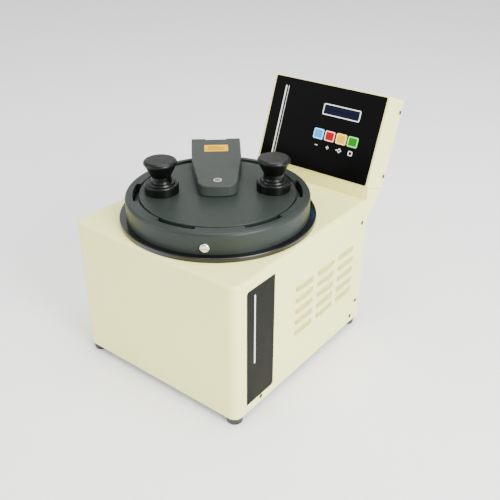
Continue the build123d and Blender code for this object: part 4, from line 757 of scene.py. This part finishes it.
inlet_low, inlet_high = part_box("mains_inlet")
inlet_x = (inlet_low.x + inlet_high.x) / 2
rear = Vector((0, 1, 0))
inlet_screw_reach, inlet_screw_drop, inlet_screw_radius = 0.015, 0.0035, 2.1 * MM
inlet_spots = [(Vector((inlet_x + across, inlet_high.y, inlet_high.z - inlet_screw_drop)), rear,
                0.4 + across * 90)
               for across in (-inlet_screw_reach, inlet_screw_reach)]
inlet_heads = screw_mesh("inlet_screw_heads", inlet_spots, inlet_screw_radius, finishes["dark_screw"])
piece_from("inlet_screw_heads", inlet_heads, finishes["dark_screw"], "root")

# ---------------------------------------------------------------- back of the housing
housing_depth = 0.348
plate_width, plate_height, plate_corner, plate_thickness = 0.064, 0.036, 0.002, 0.5 * MM
plate_at = (0.075, inlet_low.z + 0.055)
plate_stroke = 0.0012
plate_rows = ((0.052, 0, 0.011), (0.044, 0.004, 0.006), (0.052, 0, 0.001), (0.036, 0.008, -0.004),
              (0.048, 0.002, -0.009))
back_face = face(Vector((0, cover_low.y + housing_depth, 0)), Vector((-1, 0, 0)), Vector((0, 0, 1)))
printed("rating_plate", [rounded(plate_width, plate_height, plate_corner, plate_at)],
        back_face, finishes["aluminium"], "root", plate_thickness)
plate_face = back_face @ Matrix.Translation((0, 0, plate_thickness))
plate_lines = [bar(width, plate_stroke, (plate_at[0] + shift, plate_at[1] + rise))
               for width, shift, rise in plate_rows]
printed("rating_lines", plate_lines, plate_face, grey_print, "root")

# ---------------------------------------------------------------- floor, light and camera
def stage_floor():
    """A wide pale floor that curves up behind the object."""
    shape = bmesh.new()
    reach, rise, bend, steps = 6.0, 5.0, 1.5, 16
    profile = [(-reach, 0.0), (reach - bend, 0.0)]
    for step in range(1, steps + 1):
        angle = step / steps * pi / 2
        profile.append((reach - bend + bend * sin(angle), bend - bend * cos(angle)))
    profile.append((reach, rise))
    rows = [[shape.verts.new((x, depth, height)) for depth, height in profile] for x in (-reach, reach)]
    for index in range(len(profile) - 1):
        shape.faces.new((rows[0][index], rows[1][index], rows[1][index + 1], rows[0][index + 1]))
    for polygon in shape.faces:
        polygon.smooth = True
    mesh = bpy.data.meshes.new("floor")
    shape.to_mesh(mesh)
    shape.free()
    floor = bpy.data.objects.new("floor", mesh)
    bpy.context.scene.collection.objects.link(floor)

    def feed(place):
        cloud = place.noise(1.5, 3)
        return {"Base Color": cloud.mix((0.93, 0.93, 0.93), (0.96, 0.96, 0.96)),
                "Roughness": cloud * 0.1 + 0.6}
    mesh.materials.append(finish("studio_floor", feed))


def soft_light(name, place, aim, size, power, colour=(1, 1, 1)):
    light = bpy.data.lights.new(name, "AREA")
    light.shape = "DISK"
    light.size = size
    light.energy = power
    light.color = colour
    lamp = bpy.data.objects.new(name, light)
    lamp.location = place
    lamp.rotation_euler = (Vector(aim) - Vector(place)).to_track_quat("-Z", "Y").to_euler()
    bpy.context.scene.collection.objects.link(lamp)


stage_floor()
object_middle = (0, 0, 0.2)
soft_light("right_key", (2.2, -0.5, 1.3), object_middle, 1.4, 120)
soft_light("front_fill", (-1.6, -2.2, 1.2), object_middle, 2.0, 34, (0.95, 0.98, 1.0))
soft_light("top", (0.2, 0.3, 2.6), object_middle, 2.0, 62)
world = bpy.data.worlds.new("studio")
bpy.context.scene.world = world
world.use_nodes = True
world.node_tree.nodes["Background"].inputs["Color"].default_value = (1, 1, 1, 1)
world.node_tree.nodes["Background"].inputs["Strength"].default_value = 1.15

camera_place = (0.6339, -0.8019, 0.7326)
camera_heading, camera_tip, camera_roll = radians(37.75), radians(60.18), radians(0.17)
camera_data = bpy.data.cameras.new("camera")
camera_data.sensor_width = 36
camera_data.lens = 49.69
camera = bpy.data.objects.new("camera", camera_data)
camera.matrix_world = (
    Matrix.Translation(camera_place)
    @ Matrix.Rotation(camera_heading, 4, "Z")
    @ Matrix.Rotation(camera_tip, 4, "X")
    @ Matrix.Rotation(camera_roll, 4, "Z")
)
bpy.context.scene.collection.objects.link(camera)
bpy.context.scene.camera = camera
